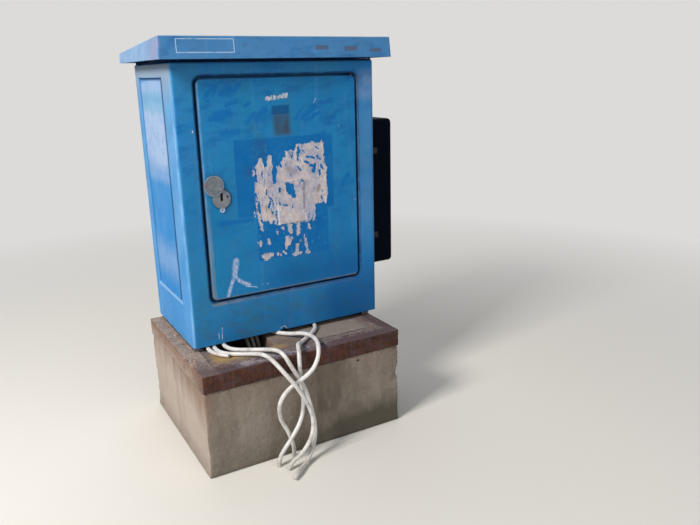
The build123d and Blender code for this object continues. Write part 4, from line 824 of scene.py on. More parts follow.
def scaledRust(name):
    # old rust: dark brown scale, redder where it has flaked, purple-grey where it is hard, dull throughout
    coat = Coat(name, "#33211b")
    x, y, z = coat.place
    clouds = coat.mottle(22, 6, 0.65, 0.34, 0.64)
    coat.lay("#52332a", clouds)
    coat.lay("#53434a", coat.mottle((26, 26, 44), 5, 0.65, 0.46, 0.62, 0, 0.55))
    coat.lay("#75462c", coat.mottle(70, 5, 0.7, 0.54, 0.7, 0, 0.3))
    coat.lay("#7a523c", coat.mottle((170, 170, 13), 4, 0.6, 0.5, 0.7, 0, 0.4))
    top = coat.ramp(coat.facing[2], 0.5, 0.9)
    coat.lay("#5f5258", top, 0.65)
    # lime and old paint left on the front part of the top
    coat.lay("#a7a1a8", coat.patch(x, y, *angle["lime"], 0.012), top,
             coat.mottle((36, 70, 36), 6, 0.72, 0.44, 0.58, 0, 0.8))
    # mortar dust on its inner margin
    sideX, sideY = coat.calc("ABSOLUTE", x), coat.calc("ABSOLUTE", y)
    margin = coat.most(coat.least(coat.ramp(sideX, 0.226, 0.244, 1, 0), coat.ramp(sideY, 0.186, 0.204, 2, 0)),
                       coat.least(coat.ramp(sideY, 0.186, 0.204, 1, 0), coat.ramp(sideX, 0.226, 0.244, 2, 0)))
    coat.lay("#8a7f78", margin, top, coat.mottle(55, 6, 0.72, 0.42, 0.56, 0, 0.85))
    # the left leg is flaked bare and dusted over, brown only towards the front corner and along its upper edge
    outer = coat.ramp(coat.facing[0], -0.45, -0.85)
    leftTop = coat.times(top, coat.ramp(x, -0.222, -0.232), coat.ramp(y, -0.2, -0.1, 0.15, 0.8))
    coat.lay("#a99b91", coat.most(coat.times(outer, coat.ramp(y, -0.228, -0.12, 0.25, 0.92)), leftTop),
             coat.mottle((30, 30, 60), 6, 0.7, 0.3, 0.56, 0.55, 1))
    coat.lay("#79594a", outer, coat.ramp(coat.stray(z, 0.05, (40, 26, 16), 6, 0.7), 0.255, 0.29, 0.15, 0.8))
    coat.lay("#33272a", coat.mottle(48, 5, 0.7, 0.34, 0.42, 0.5, 0), coat.ramp(outer, 0, 1, 1, 0.3))
    relief = coat.stray(coat.mottle(90, 4, 0.7, 0.42, 0.56), 0.7, 260, 4, 0.7)
    coat.bump(relief, 0.0009, 0.9)
    return coat.finish({"Roughness": coat.ramp(clouds, 0, 1, 0.72, 0.92), "IOR": 1.5, "Specular IOR Level": 0.2})


wearPiece("plinth_angle_frame", angle["grain"], wearAngle, scaledRust("rusted steel angle"))
print("angle frame rusted")


# Paper left on the door: a torn poster and the scrap of a sticker, as thin sheets with their edges lifting
poster = {
    "reach": (-66, 150, 462, 772),
    "grid": 0.0012,
    "thickness": 0.00025,
    "lift": 0.0012,
    "boxes": (         # (left, right, low, high) in mm on the door
        (60, 136, 690, 755), (-49, -10, 650, 698), (-55, 5, 596, 664), (30, 134, 698, 742), (2, 141, 643, 704),
        (-6, 139, 604, 654), (0, 86, 560, 610), (-50, -12, 575, 610),
    ),
    "strips": (        # (x, z, x, z, half width)
        (-40, 702, -39, 726, 8), (-40, 690, -50, 712, 5), (-30, 688, -25, 706, 6.5), (-18, 690, -14, 731, 8),
        (-51, 668, -53, 612, 5), (-48, 610, -44, 552, 5.5), (-36, 606, -34, 580, 6), (-22, 606, -18, 570, 6),
        (-10, 600, -6, 562, 3), (47, 722, 60, 745, 9), (76, 738, 84, 755, 6), (99, 738, 104, 757, 9),
        (118, 738, 129, 756, 9), (16, 700, 26, 722, 8), (135, 655, 136, 604, 4.5), (96, 608, 92, 566, 7),
        (105, 600, 101, 560, 2.5), (32, 553, 34, 534, 5), (57, 553, 55, 528, 4.5), (25, 522, 20, 497, 6),
        (33, 520, 27, 505, 4), (51, 503, 49, 478, 3.2), (38, 477, 60, 479, 3.6), (76, 510, 80, 480, 3),
        (78, 478, 85, 476, 4), (-41, 485, -19, 486, 6.5), (-30, 480, -40, 474, 3.5), (-51, 522, -50, 512, 2.2),
        (-26, 519, -25, 513, 2), (12, 490, 16, 482, 1.6), (-5, 545, -4, 534, 1.8), (88, 540, 83, 552, 2.4),
        (-28, 526, -26, 524, 1.7), (-24, 517, -23, 514, 1.5), (-57, 523, -56, 521, 1.3), (4, 480, 6, 478, 1.7),
        (-4, 485, -3, 483, 1.5), (13, 551, 13, 547, 1.7), (-61, 600, -60, 588, 1.5), (-58, 690, -57, 700, 1.6),
        (142, 640, 143, 622, 1.5), (-8, 571, -7, 566, 1.5), (60, 512, 61, 508, 1.4), (72, 523, 72, 517, 1.4),
    ),
    "tears": (         # strips torn out of it
        (0, 742, 1, 690, 4.5), (0, 690, -2, 668, 2.5), (32, 658, 37, 640, 7), (42, 655, 48, 630, 6.5),
        (26, 663, 30, 664, 2.5), (88, 724, 108, 720, 3), (94, 702, 110, 697, 3), (66, 757, 67, 736, 2.6),
        (46, 738, 49, 722, 1.6), (76, 741, 81, 736, 2.2), (112, 746, 120, 741, 2.2), (84, 712, 90, 708, 2.0),
        (122, 688, 123, 676, 2.0), (-49, 622, -46, 592, 2.0), (-20, 622, -24, 606, 3), (-14, 600, -13, 590, 1.6),
        (127, 700, 130, 690, 2.5), (118, 722, 125, 716, 2.5), (102, 690, 104, 684, 3), (16, 610, 26, 606, 3),
        (-28, 652, -26, 640, 1.5), (130, 600, 112, 596, 5), (70, 668, 74, 664, 2), (10, 652, 8, 642, 2),
        (60, 700, 66, 694, 2.4), (-55, 644, -47, 595, 1.9), (-22, 633, -13, 625, 2.4), (-12, 624, -12, 606, 2.0),
        (110, 702, 108, 685, 3.0), (63, 738, 62, 716, 2.0), (12, 712, 15, 704, 2.2), (127, 621, 125, 604, 1.8),
        (42, 606, 42, 599, 1.6), (4, 620, 8, 612, 2.0), (-34, 700, -35, 684, 1.5), (-44, 585, -43, 570, 1.6),
        (20, 742, 22, 730, 2.2),
    ),
    "ragged": 5.6,     # mm
    "fuller": 1.1,
    "taper": 0.55,     # how much narrower each strip is at its far end
}
scrap = {
    "reach": (-24, 52, 856, 892),
    "grid": 0.0010,
    "thickness": 0.0002,
    "lift": 0.0005,
    "boxes": ((-15, 0, 865, 874), (0, 20, 867, 876), (20, 32, 869, 877), (30, 42, 870, 881)),
    "strips": (),
    "tears": ((-9, 880, -9, 872, 0.8), (4, 880, 4, 870, 0.8), (13, 864, 14, 872, 0.8), (25, 884, 25, 875, 0.8),
              (36, 866, 36, 876, 0.7)),
    "ragged": 6.0,
    "fuller": 0.0,
    "taper": 0.0,
}


def tornSheet(name, look, material, stretch):
    # the sheet's outline is where the field below passes zero, and its value is about the distance in mm from there
    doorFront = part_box("door_panel")[0][1]

    def inBox(x, z, box):
        return min(x - box[0], box[1] - x, z - box[2], box[3] - z)

    def inStrip(x, z, strip, taper=0.0):
        x0, z0, x1, z1, half = strip
        along = ((x - x0) * (x1 - x0) + (z - z0) * (z1 - z0)) / ((x1 - x0) ** 2 + (z1 - z0) ** 2)
        along = min(1.0, max(0.0, along))
        return half * (1 - taper * along * along) - math.hypot(x - x0 - along * (x1 - x0), z - z0 - along * (z1 - z0))

    def field(x, z):
        place = Vector((x * 0.11, 1.3, z * 0.07))
        x += 2.6 * noise.noise(place) + 1.4 * noise.noise(place * 3.1)
        z += 2.0 * noise.noise(place * 1.7)
        value = max([inBox(x, z, box) for box in look["boxes"]]
                    + [inStrip(x, z, strip, look["taper"]) for strip in look["strips"]])
        if value < -9:
            return value
        value = min([value] + [-inStrip(x, z, strip) - look["fuller"] for strip in look["tears"]])
        place = Vector((x * stretch[0], 3.7, z * stretch[1]))
        rough = 0.42 * noise.noise(place) + 0.5 * noise.noise(place * 2.7) + 0.5 * noise.noise(place * 5.3)
        return value + look["fuller"] + look["ragged"] * rough

    size = look["grid"] * 1000
    left, right, low, high = look["reach"]
    columns, rows = int((right - left) / size) + 1, int((high - low) / size) + 1
    values = [[field(left + i * size, low + j * size) for j in range(rows + 1)] for i in range(columns + 1)]
    bm = bmesh.new()
    depth = bm.verts.layers.float.new("fromEdge")
    made = {}

    def corner(i, j):
        if (i, j) not in made:
            made[i, j] = bm.verts.new(((left + i * size) / 1000, doorFront, (low + j * size) / 1000))
            made[i, j][depth] = values[i][j]
        return made[i, j]

    def crossing(a, b):
        key = (a, b) if a < b else (b, a)
        if key not in made:
            va, vb = values[key[0][0]][key[0][1]], values[key[1][0]][key[1][1]]
            share = va / (va - vb)
            x = left + (key[0][0] + (key[1][0] - key[0][0]) * share) * size
            z = low + (key[0][1] + (key[1][1] - key[0][1]) * share) * size
            made[key] = bm.verts.new((x / 1000, doorFront, z / 1000))
            made[key][depth] = 0.0
        return made[key]

    for i in range(columns):
        for j in range(rows):
            ring = ((i, j), (i + 1, j), (i + 1, j + 1), (i, j + 1))
            points = []
            for here, after in zip(ring, ring[1:] + ring[:1]):
                inHere, inAfter = values[here[0]][here[1]] > 0, values[after[0]][after[1]] > 0
                if inHere:
                    points.append(corner(*here))
                if inHere != inAfter:
                    points.append(crossing(here, after))
            if len(points) > 2 and len(set(points)) == len(points):
                bm.faces.new(points)
    for vertex in bm.verts:
        x, z = vertex.co.x * 1000, vertex.co.z * 1000
        loose = max(0.0, noise.noise(Vector((x * 0.06, 9.1, z * 0.05))) + 0.25)
        edge = max(0.0, 1 - vertex[depth] / 5.0)
        vertex.co.y = doorFront - 0.0001 - look["lift"] * loose * edge * edge
    mesh = bpy.data.meshes.new(name)
    bm.to_mesh(mesh)
    bm.free()
    sheet = modified(mesh, "SOLIDIFY", thickness=look["thickness"], offset=1.0)
    sheet.shade_smooth()
    piece = newPiece(name, sheet, material, "door")
    return piece


# bare torn edges, stains and dirt on the poster: start, end, half width, colour
posterMarks = (
    ((0.0016, 0.607), (0.0035, 0.560), 0.0021, "#e3e7f0"), ((0.0772, 0.5813), (0.0790, 0.5615), 0.0017, "#dcdcda"),
    ((0.0364, 0.6691), (0.0512, 0.6703), 0.0022, "#d8d0d6"), ((0.0260, 0.6600), (0.0350, 0.6340), 0.0020, "#b9c8dc"),
    ((0.0055, 0.6408), (0.0099, 0.6497), 0.0013, "#84694a"), ((0.0099, 0.6497), (0.0212, 0.6436), 0.0013, "#84694a"),
    ((0.0787, 0.6586), (0.0751, 0.6462), 0.0044, "#7b7283"), ((0.0755, 0.6462), (0.0760, 0.5950), 0.0030, "#827e8b"),
    ((0.1202, 0.6470), (0.1156, 0.6364), 0.0046, "#8b7c68"), ((0.0090, 0.5590), (0.0810, 0.5620), 0.0014, "#766a60"),
    ((0.0350, 0.6970), (0.0560, 0.6900), 0.0080, "#938fa2"), ((-0.0300, 0.6120), (-0.0290, 0.5980), 0.0014, "#6d6478"),
)


def weatheredPaper(name, body, dull, edgeTint, marks=()):
    # pulp paper washed by rain: fibrous and matt, split into layers, grey with soot, thin enough in places
    # for the paint to show through
    coat = Coat(name, dull)
    fromEdge = addNode(coat.tree, "ShaderNodeAttribute", attribute_name="fromEdge").outputs["Fac"]
    layers = coat.mottle((30, 30, 20), 6, 0.68, 0.4, 0.58)
    coat.lay(body, layers)
    coat.lay("#8388a0", coat.mottle((230, 230, 110), 5, 0.72, 0.44, 0.68, 0, 0.45))
    coat.lay("#d3c0bb", coat.mottle(60, 4, 0.6, 0.52, 0.68, 0, 0.6))
    coat.lay("#a49478", coat.mottle(34, 5, 0.7, 0.56, 0.7, 0, 0.5, distortion=0.6))
    creases = coat.calc("ABSOLUTE", coat.calc("SUBTRACT", coat.cloud((75, 75, 42), 4, 0.7), 0.5))
    coat.lay("#7e7468", coat.ramp(creases, 0.004, 0.02, 0.55, 0))
    coat.lay("#4a79a8", coat.mottle((85, 85, 42), 6, 0.74, 0.57, 0.63, 0, 0.8))
    coat.lay(edgeTint, coat.mottle((90, 90, 60), 4, 0.7, 0.61, 0.68, 0, 0.8))
    ragged = coat.wobble(240, 0.004)
    for start, end, halfWidth, tone in marks:
        coat.lay(tone, coat.stroke(start, end, halfWidth, 0.4 * halfWidth, ragged), 0.7)
    coat.lay("#8fb4d8", coat.ramp(fromEdge, 0.2, 1.8, 0.6, 0))
    fibres = coat.calc("ADD", coat.cloud((700, 700, 250), 3, 0.6), coat.times(layers, 0.6))
    coat.bump(fibres, 0.0003, 0.8)
    return coat.finish({"Roughness": 0.92})


posterPaper = weatheredPaper("weathered poster paper", "#cfc5c7", "#adaec2", "#e3e4ec", posterMarks)
stickerPaper = weatheredPaper("torn sticker paper", "#cfd0d6", "#b5bfd0", "#e4e5ea")
tornSheet("poster_remains", poster, posterPaper, (0.17, 0.075))
tornSheet("sticker_scrap", scrap, stickerPaper, (0.55, 0.06))
print("paper torn")


# Metal parts: zinc-plated and galvanised steel, white rust and soil take the shine off them
metals = {       # colours: metal, pale bloom, tarnish, rust; shares: grime, rust; metallic, roughness
    "packer": ("#6f7478", "#8b9093", "#5f564c", "#4f3225", 0.55, 0.75, 0.75, 0.5),
    "bolt": ("#74797c", "#92979a", "#4f4a44", "#5a3726", 0.4, 0.55, 0.8, 0.45),
    "plated": ("#9a9fa3", "#b9bdbf", "#8f9190", "#6b4a35", 0.15, 0.1, 0.9, 0.36),
    "sheet": ("#a4a8aa", "#bcc0c1", "#9a9b98", "#7a5a42", 0.25, 0.05, 0.85, 0.4),
    "rail": ("#a9a593", "#c3bfae", "#918e83", "#7a5a42", 0.15, 0.06, 0.9, 0.34),
    "bracket": ("#1c1a18", "#2c2825", "#1d1a18", "#2f2019", 0.6, 0.8, 0.35, 0.7),
    "casting": ("#6d7073", "#85888a", "#5b5a57", "#5a3d2c", 0.3, 0.1, 0.8, 0.48),
    "lock": ("#5c6672", "#78838f", "#857f78", "#6d4d42", 0.45, 0.2, 0.25, 0.62),
    # the hinge bushes sit in the door gap: their near-black colours are painted shade
    "bronze": ("#0d0c0b", "#12110f", "#0a0909", "#100d0b", 0.8, 0.1, 0.1, 0.75),
    "brass": ("#a5843f", "#c2a25a", "#7f6a3c", "#5e4c2c", 0.15, 0.12, 0.95, 0.3),
}


def platedMetal(name, kind, marks=None):
    # a soft grey gleam in clouds about 15 mm wide, dull where it has tarnished, brown where rust comes through
    metal, pale, dirt, brown, grime, rusty, metallic, rough = metals[kind]
    coat = Coat(name, metal)
    coat.lay(pale, coat.mottle(65, 5, 0.6, 0.32, 0.66))
    tarnish = coat.mottle(130, 5, 0.7, 0.68 - 0.3 * grime, 0.78 - 0.3 * grime)
    coat.lay(dirt, tarnish)
    rust = coat.mottle(95, 6, 0.7, 0.7 - 0.28 * rusty, 0.76 - 0.28 * rusty, distortion=0.4)
    coat.lay(brown, rust)
    if marks:
        marks(coat)
    eaten = coat.most(tarnish, rust)
    coat.bump(coat.calc("MULTIPLY_ADD", rust, 0.8, coat.cloud(600, 2)), 0.00015, 0.7)
    return coat.finish({"Metallic": coat.ramp(eaten, 0, 1, metallic, 0.1 * metallic),
                        "Roughness": coat.ramp(eaten, 0, 1, rough, 0.85)})


# marks on the lock: (x, z) in metres
lockMarks = {
    "disc": (-0.1603, 0.0, 0.6746),
    "plate": (-0.143, 0.0, 0.642),
    "screwHole": ((-0.1285, 0.6465), (-0.1285, 0.6469), 0.0026),
    "chip": ((-0.1838, 0.6775), (-0.1800, 0.6790), 0.0050),
}


def markLock(coat):
    y, z = coat.place[1], coat.place[2]
    onDisc = coat.ramp(y, -0.0926, -0.093)
    # the disc: a pressed ring near its edge, a pale outer rim, level wear lines
    away = coat.awayFrom(lockMarks["disc"])
    coat.lay("#4b5057", coat.between(away, 0.0185, 0.0197, 0.0006), onDisc, 0.5)
    coat.lay("#99a4b2", coat.ramp(away, 0.0215, 0.0243), onDisc, 0.45)
    coat.lay("#5b5f64", coat.mottle((120, 1, 420), 3, 0.6, 0.5, 0.6, 0, 0.45), onDisc, coat.ramp(away, 0.018, 0.014))
    # the plate: brown at the keyhole, bare and pale on the tab, the screw hole's mouth in painted shade
    flatPlate = coat.ramp(y, -0.093, -0.0926)
    coat.lay("#85848a", coat.ramp(coat.awayFrom(lockMarks["plate"]), 0.024, 0.008, 0, 0.55), flatPlate)
    coat.lay("#b4c2d8", coat.ramp(z, 0.6205, 0.6165), flatPlate, 0.8)
    coat.lay("#15181d", coat.stroke(*lockMarks["screwHole"], 0.0008), flatPlate)
    coat.lay("#7d5560", coat.stroke(*lockMarks["chip"], 0.0025), coat.mottle(210, 4, 0.6, 0.4, 0.56, 0.2, 0.9))


zincPlated = platedMetal("zinc-plated steel fittings", "plated")
for names, label, kind in (
    (["packers"], "rusty galvanised packers", "packer"),
    (["anchor_bolts", "roof_screws", "bar_screws"], "weathered galvanised bolts", "bolt"),
    (["mounting_plate"], "galvanised mounting plate", "sheet"),
    (["din_rail_upper", "din_rail_lower", "clamp_rail"], "yellow-passivated steel rail", "rail"),
    (["lock_case", "lock_spindle"], "die-cast zinc lock case", "casting"),
    # near black as painted shade of the door gap
    (["hinge_bushes"], "bronze bush in painted shade", "bronze"),
    (["neutral_bar", "earth_bar"], "tarnished brass bar", "brass"),
    (["side_box_brackets", "side_box_screws"], "rusted black bracket steel", "bracket"),
):
    paint(names, platedMetal(label, kind))
paint(["hinge_lugs", "hinge_pins", "upper_rod", "lower_rod", "rail_brackets"], zincPlated)
paint(["lock_escutcheon", "lock_cover_disc", "lock_rivet"], platedMetal("weathered zinc lock plate", "lock", markLock))
print("metal finished")


# Plastic and rubber parts
plastics = {     # colours: body, shade, dust; roughness, grain in mm, share of dust, sheen
    "gasket": ("#17191b", "#0f1112", "#6c6a64", 0.78, 0.9, 0.35, 0.3),
    "fitting": ("#1d1e20", "#151617", "#5f5c56", 0.52, 0.8, 0.3, 0.4),
    "box": ("#02050f", "#040919", "#1b202c", 0.5, 1.2, 0.15, 0.03),
    # the comb's dark blue is painted shade for the gap under the hood
    "comb": ("#0c2e50", "#0a2747", "#27425e", 0.6, 0.8, 0.3, 0.1),
    "device": ("#c9cac6", "#bdbeba", "#9c978c", 0.42, 0.7, 0.45, 0.5),
    "grey": ("#8f9395", "#84888a", "#a09b90", 0.45, 0.8, 0.45, 0.5),
    "terminal": ("#a7a69c", "#9b9a90", "#8f8a7f", 0.46, 0.7, 0.4, 0.5),
    "handle": ("#141517", "#0e0f10", "#5f5c56", 0.38, 0.8, 0.25, 0.5),
}


def mouldedPlastic(name, kind, marks=None):
    # injection-moulded: even colour, a fine spark-eroded grain about 1 mm as drawn, dust on what faces up
    body, shade, pale, rough, grain, dusty, sheen = plastics[kind]
    coat = Coat(name, body)
    coat.lay(shade, coat.mottle(16, 4, 0.6, 0.3, 0.7))
    if marks:
        marks(coat)
    dust = coat.times(coat.ramp(coat.facing[2], 0.4, 0.9, 0.18, 1), dusty, coat.mottle(48, 6, 0.7, 0.38, 0.66))
    coat.lay(pale, dust)
    coat.bump(coat.cloud(1000 / grain, 2), 0.00006, 0.6)
    return coat.finish({"Roughness": coat.ramp(dust, 0, 0.6, rough, 0.85), "IOR": 1.49, "Specular IOR Level": sheen})


breakers = (1, 2, 3, 4)
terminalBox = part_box("terminal_blocks")
terminals = {
    "pitch": 0.008,
    "blueFrom": 28,          # block numbers, counted from the left
    "greenFrom": 33,
}


def markTerminals(coat):
    # neutral blocks blue, earth blocks green with a yellow band
    x, z = coat.place[0], coat.place[2]
    start, pitch = terminalBox[0][0] - 0.0003, terminals["pitch"]
    blue = start + terminals["blueFrom"] * pitch
    green = start + terminals["greenFrom"] * pitch
    middle = (terminalBox[0][2] + terminalBox[1][2]) / 2
    coat.lay("#3c6ea3", coat.ramp(x, blue - 0.0001, blue + 0.0001))
    earth = coat.ramp(x, green - 0.0001, green + 0.0001)
    coat.lay("#3f7d46", earth)
    coat.lay("#c9b23a", earth, coat.between(z, middle - 0.006, middle + 0.006, 0.0004))


def markBars(coat):
    # the neutral bar's supports blue, the earth bar's green
    middle = (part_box("neutral_bar")[1][0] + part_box("earth_bar")[0][0]) / 2
    right = coat.ramp(coat.place[0], middle - 0.001, middle + 0.001)
    coat.lay("#3c6ea3", coat.calc("SUBTRACT", 1, right))
    coat.lay("#3f7d46", right)


for names, label, kind, marks in (
    (["door_gasket"], "EPDM rubber gasket", "gasket", None),
    (["rod_guides", "cable_clamps", "plate_standoffs"], "black polyamide fittings", "fitting", None),
    (["side_box_base", "side_box_cover"], "black polycarbonate box", "box", None),
    (["circuit_breaker_%d" % n for n in breakers], "pale grey polyamide breaker", "device", None),
    (["breaker_toggle_%d" % n for n in breakers] + ["main_switch_handle"], "black switch plastic", "handle", None),
    (["main_switch"], "grey polycarbonate switch", "grey", None),
    (["bar_supports"], "bar support polyamide", "grey", markBars),
    (["terminal_blocks"], "grey terminal polyamide", "terminal", markTerminals),
):
    paint(names, mouldedPlastic(label, kind, marks))
paint(["cable_tails"], whiteSheath)
print("plastic and rubber finished")


# Geometry Nodes: trees with named inputs, run on a plain mesh and turned into one again
def nodeTree(name, inputs):
    tree = bpy.data.node_groups.new(name, "GeometryNodeTree")
    tree.interface.new_socket(name="Geometry", in_out="OUTPUT", socket_type="NodeSocketGeometry")
    for label, kind in {"Geometry": "Geometry", **inputs, "Finish": "Material"}.items():
        tree.interface.new_socket(name=label, in_out="INPUT", socket_type="NodeSocket" + kind)
    return tree, addNode(tree, "NodeGroupInput").outputs


def endTree(tree, geometry, finish):
    real = put(tree, "GeometryNodeRealizeInstances", {0: geometry})
    finished = put(tree, "GeometryNodeSetMaterial", {"Geometry": real, "Material": finish})
    addNode(tree, "NodeGroupOutput", {0: finished})
    return tree


def grow(name, tree, mesh, values, body):
    sockets = {item.identifier: values[item.name] for item in tree.interface.items_tree
               if item.in_out == "INPUT" and item.name in values}
    grown = modified(mesh, "NODES", sockets, node_group=tree)
    grown.polygons.foreach_set("material_index", [0] * len(grown.polygons))
    piece = newPiece(name, grown, values["Finish"], body)
    return piece


def plainMesh(name, points, edges=()):
    mesh = bpy.data.meshes.new(name)
    mesh.from_pydata(points, edges, [])
    return mesh


# slotted screw heads, one at each point, that look forward
deviceScrews = {"Radius": 0.0024, "Height": 0.0012, "Slot": 0.0008, "Seed": 3, "Finish": zincPlated}
terminalScrews = {"Radius": 0.0021, "Height": 0.0010, "Slot": 0.0007, "Seed": 5, "Finish": zincPlated}
screwPlaces = {
    "breakerRow": 0.032,     # above and below the breaker's middle
    "breakerShoulder": 0.020,          # how far the breaker's nose stands before its shoulders
    "switchColumns": (-0.024, 0.0, 0.024),
    "switchRow": 0.034,
    "terminalRow": 0.0075,
}


def screwHeads():
    tree, given = nodeTree("screw heads", {"Radius": "Float", "Height": "Float", "Slot": "Float", "Seed": "Int"})
    radius, height = given["Radius"], given["Height"]
    head = put(tree, "GeometryNodeMeshCylinder", {"Vertices": 14, "Radius": radius, "Depth": height})
    size = put(tree, "ShaderNodeCombineXYZ", {0: given["Slot"], 1: calc(tree, "MULTIPLY", radius, 3), 2: height})
    cutter = put(tree, "GeometryNodeMeshCube", {"Size": size})
    lifted = put(tree, "ShaderNodeCombineXYZ", {2: calc(tree, "MULTIPLY", height, 0.6)})
    cutter = put(tree, "GeometryNodeTransform", {"Geometry": cutter, "Translation": lifted})
    cut = put(tree, "GeometryNodeMeshBoolean", {"Mesh 1": head, "Mesh 2": cutter}, operation="DIFFERENCE",
              solver="EXACT")
    forward = put(tree, "FunctionNodeEulerToRotation", {0: (math.radians(90), 0, 0)})
    heads = put(tree, "GeometryNodeInstanceOnPoints", {"Points": given["Geometry"], "Instance": cut,
                                                       "Rotation": forward})
    spin = addNode(tree, "FunctionNodeRandomValue", {2: 0, 3: 3.1, "Seed": given["Seed"]}, data_type="FLOAT").outputs[1]
    spin = put(tree, "ShaderNodeCombineXYZ", {2: spin})
    spin = put(tree, "FunctionNodeEulerToRotation", {0: spin})
    heads = put(tree, "GeometryNodeRotateInstances", {"Instances": heads, "Rotation": spin, "Local Space": True})
    return endTree(tree, heads, given["Finish"])


def middleOf(box):
    return [(a + b) / 2 for a, b in zip(*box)]


screwTree = screwHeads()
points = []
for n in breakers:
    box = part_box("circuit_breaker_%d" % n)
    x, y, z = middleOf(box)
    points += [(x, box[0][1] + screwPlaces["breakerShoulder"], z + side * screwPlaces["breakerRow"])
               for side in (-1, 1)]
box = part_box("main_switch")
x, y, z = middleOf(box)
points += [(x + across, box[0][1], z + side * screwPlaces["switchRow"])
           for across in screwPlaces["switchColumns"] for side in (-1, 1)]
grow("device_screws", screwTree, plainMesh("device screw places", points), deviceScrews, "base")
low, high = terminalBox
blocks = round((high[0] - low[0]) / terminals["pitch"])
middle = middleOf(terminalBox)[2]
points = [(low[0] + (n + 0.5) * terminals["pitch"] - 0.0003, low[1], middle + side * screwPlaces["terminalRow"])
          for n in range(blocks) for side in (-1, 1)]
grow("terminal_screws", screwTree, plainMesh("terminal screw places", points), terminalScrews, "base")
print("screw heads grown")


# a dark blue comb on the shell's upper edge, as painted shade: it fills the gap under the hood with a dark blue band
# where shade falls
comb = {"Pitch": 0.0044, "Tooth width": 0.0032, "Tooth thickness": 0.0012, "Height": 0.015,
        "Finish": mouldedPlastic("dark blue painted shade comb", "comb")}
combPlace = {"inset": 0.006, "strip": 0.003}


def shadeComb():
    tree, given = nodeTree("painted shade comb", {"Pitch": "Float", "Tooth width": "Float", "Tooth thickness": "Float",
                                          "Height": "Float"})
    edge = put(tree, "GeometryNodeMeshToCurve", {0: given["Geometry"]})
    places = addNode(tree, "GeometryNodeCurveToPoints", {"Curve": edge, "Length": given["Pitch"]}, mode="LENGTH")
    tooth = put(tree, "ShaderNodeCombineXYZ", {0: given["Tooth width"], 1: given["Tooth thickness"],
                                               2: given["Height"]})
    tooth = put(tree, "GeometryNodeMeshCube", {"Size": tooth})
    along = put(tree, "FunctionNodeAlignRotationToVector", {"Vector": places.outputs["Tangent"]}, axis="X")
    teeth = put(tree, "GeometryNodeInstanceOnPoints", {"Points": places.outputs[0], "Instance": tooth,
                                                       "Rotation": along})
    side = combPlace["strip"]
    strip = put(tree, "GeometryNodeCurvePrimitiveQuadrilateral", {"Width": side, "Height": side})
    strip = put(tree, "GeometryNodeCurveToMesh", {"Curve": edge, "Profile Curve": strip})
    drop = put(tree, "ShaderNodeCombineXYZ", {2: calc(tree, "MULTIPLY", given["Height"], -0.4)})
    strip = put(tree, "GeometryNodeTransform", {"Geometry": strip, "Translation": drop})
    joined = addNode(tree, "GeometryNodeJoinGeometry", {0: teeth})
    tree.links.new(strip, joined.inputs[0])
    return endTree(tree, joined.outputs[0], given["Finish"])


low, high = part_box("cabinet_shell")
left, front = low[0] + combPlace["inset"], low[1] + combPlace["inset"]
right, rear = high[0] - combPlace["inset"], high[1] - combPlace["inset"]
level = high[2] + comb["Height"] / 2 + 0.0001
corners = [(left, front, level), (right, front, level), (right, rear, level), (left, rear, level)]
line = plainMesh("comb line", corners, [(0, 1), (1, 2), (2, 3), (3, 0)])
grow("eaves_comb", shadeComb(), line, comb, "base")
print("painted shade comb grown")


# loose bits scattered over a worn surface: rust flakes and scale on the angle, grit on the plinth
scatter = {
    "rust_flakes": {
        "under": "worn_plinth_angle_frame", "slot": "angle_steel", "dark": "#6b4c3e", "light": "#c4b0a2",
        "Density": 16000.0, "Patchiness": 0.40, "Size": 0.0085, "Flatness": 0.18, "Tilt": 0.45, "Seed": 11,
        "from": (-9, -0.17, 0.262), "to": (-0.226, 9, 9),
    },
    "rust_scale": {
        "under": "worn_plinth_angle_frame", "slot": "angle_steel", "dark": "#3a2620", "light": "#6e4a3c",
        "Density": 9000.0, "Patchiness": 0.50, "Size": 0.0060, "Flatness": 0.14, "Tilt": 0.30, "Seed": 12,
        "from": (-9, -9, 0.262), "to": (9, 0.10, 9),
    },
    "plinth_grit": {
        "under": "worn_plinth_block", "slot": "concrete", "dark": "#5d534b", "light": "#968c81",
        "Density": 9000.0, "Patchiness": 0.46, "Size": 0.0042, "Flatness": 0.65, "Tilt": 1.2, "Seed": 13,
        "from": (-0.222, -9, 0.250), "to": (0.222, 0.0, 9),
    },
}


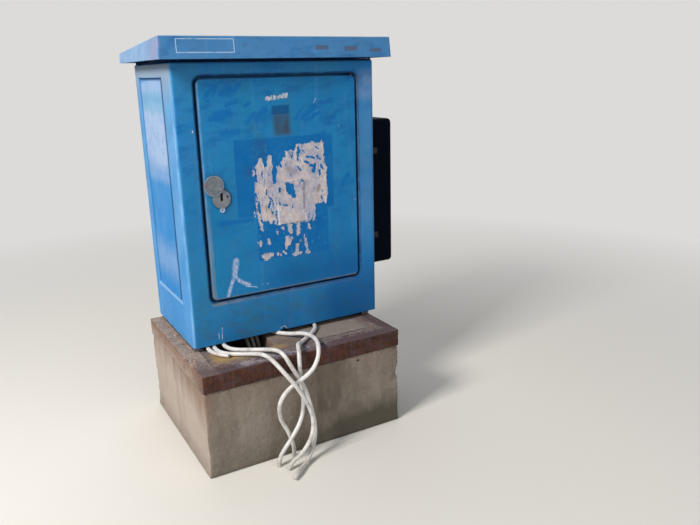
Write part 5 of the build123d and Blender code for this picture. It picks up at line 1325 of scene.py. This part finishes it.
def scatteredBits():
    kinds = {name: "Float" for name in ("Density", "Patchiness", "Size", "Flatness", "Tilt")}
    tree, given = nodeTree("scattered bits", {"Facing": "Vector", **kinds, "Seed": "Int"})
    # drawn for each bit: its length, how wide it is beside that, how it leans and turns
    reaches = ((0.35, 1.3), (0.45, 1), (calc(tree, "MULTIPLY", given["Tilt"], -1), given["Tilt"]), (0, 6.28))
    drawn = []
    for n, (low, high) in enumerate(reaches, 1):
        draw = {2: low, 3: high, "Seed": calc(tree, "ADD", given["Seed"], n)}
        drawn.append(addNode(tree, "FunctionNodeRandomValue", draw, data_type="FLOAT").outputs[1])
    towards = addNode(tree, "ShaderNodeVectorMath", {0: put(tree, "GeometryNodeInputNormal"), 1: given["Facing"]},
                      operation="DOT_PRODUCT").outputs["Value"]
    chosen = put(tree, "FunctionNodeCompare", {0: towards, 1: 0.75}, operation="GREATER_THAN", data_type="FLOAT")
    clusters = put(tree, "ShaderNodeTexNoise", {"Scale": 28, "Detail": 3})
    amount = calc(tree, "MULTIPLY", ramp(tree, clusters, given["Patchiness"], 0.62), given["Density"])
    scattered = addNode(tree, "GeometryNodeDistributePointsOnFaces", {"Mesh": given["Geometry"], "Selection": chosen,
                                                                      "Density": amount, "Seed": given["Seed"]})
    bit = put(tree, "GeometryNodeMeshIcoSphere", {"Radius": 0.5, "Subdivisions": 1})
    longSide = calc(tree, "MULTIPLY", drawn[0], given["Size"])
    shortSide = calc(tree, "MULTIPLY", longSide, drawn[1])
    thickness = calc(tree, "MULTIPLY", longSide, given["Flatness"])
    sides = put(tree, "ShaderNodeCombineXYZ", {0: longSide, 1: shortSide, 2: thickness})
    bits = put(tree, "GeometryNodeInstanceOnPoints", {"Points": scattered.outputs[0], "Instance": bit,
                                                      "Rotation": scattered.outputs["Rotation"], "Scale": sides})
    turn = put(tree, "ShaderNodeCombineXYZ", {0: drawn[2], 2: drawn[3]})
    turn = put(tree, "FunctionNodeEulerToRotation", {0: turn})
    bits = put(tree, "GeometryNodeRotateInstances", {"Instances": bits, "Rotation": turn, "Local Space": True})
    return endTree(tree, bits, given["Finish"])


def crumbs(name, look):
    # broken rust scale and mortar: matt, each side a slightly different earth colour, about 8 mm apart
    coat = Coat(name, look["dark"])
    coat.lay(look["light"], coat.mottle(120, 3, 0.6, 0.36, 0.62))
    coat.bump(coat.cloud(900, 2), 0.0002, 0.8)
    return coat.finish({"Roughness": 0.95})


bitTree = scatteredBits()
for name, look in scatter.items():
    mesh = bpy.data.objects[look["under"]].data.copy()
    bm = bmesh.new()
    bm.from_mesh(mesh)
    away = [face for face in bm.faces
            if not all(a < c < b for a, c, b in zip(look["from"], face.calc_center_median(), look["to"]))]
    bmesh.ops.delete(bm, geom=away, context="FACES")
    bm.to_mesh(mesh)
    bm.free()
    values = {**look, "Facing": (0.0, 0.0, 1.0), "Finish": crumbs(name.replace("_", " "), look)}
    grow(name, bitTree, mesh, values, "base")
print("rust flakes and grit scattered")


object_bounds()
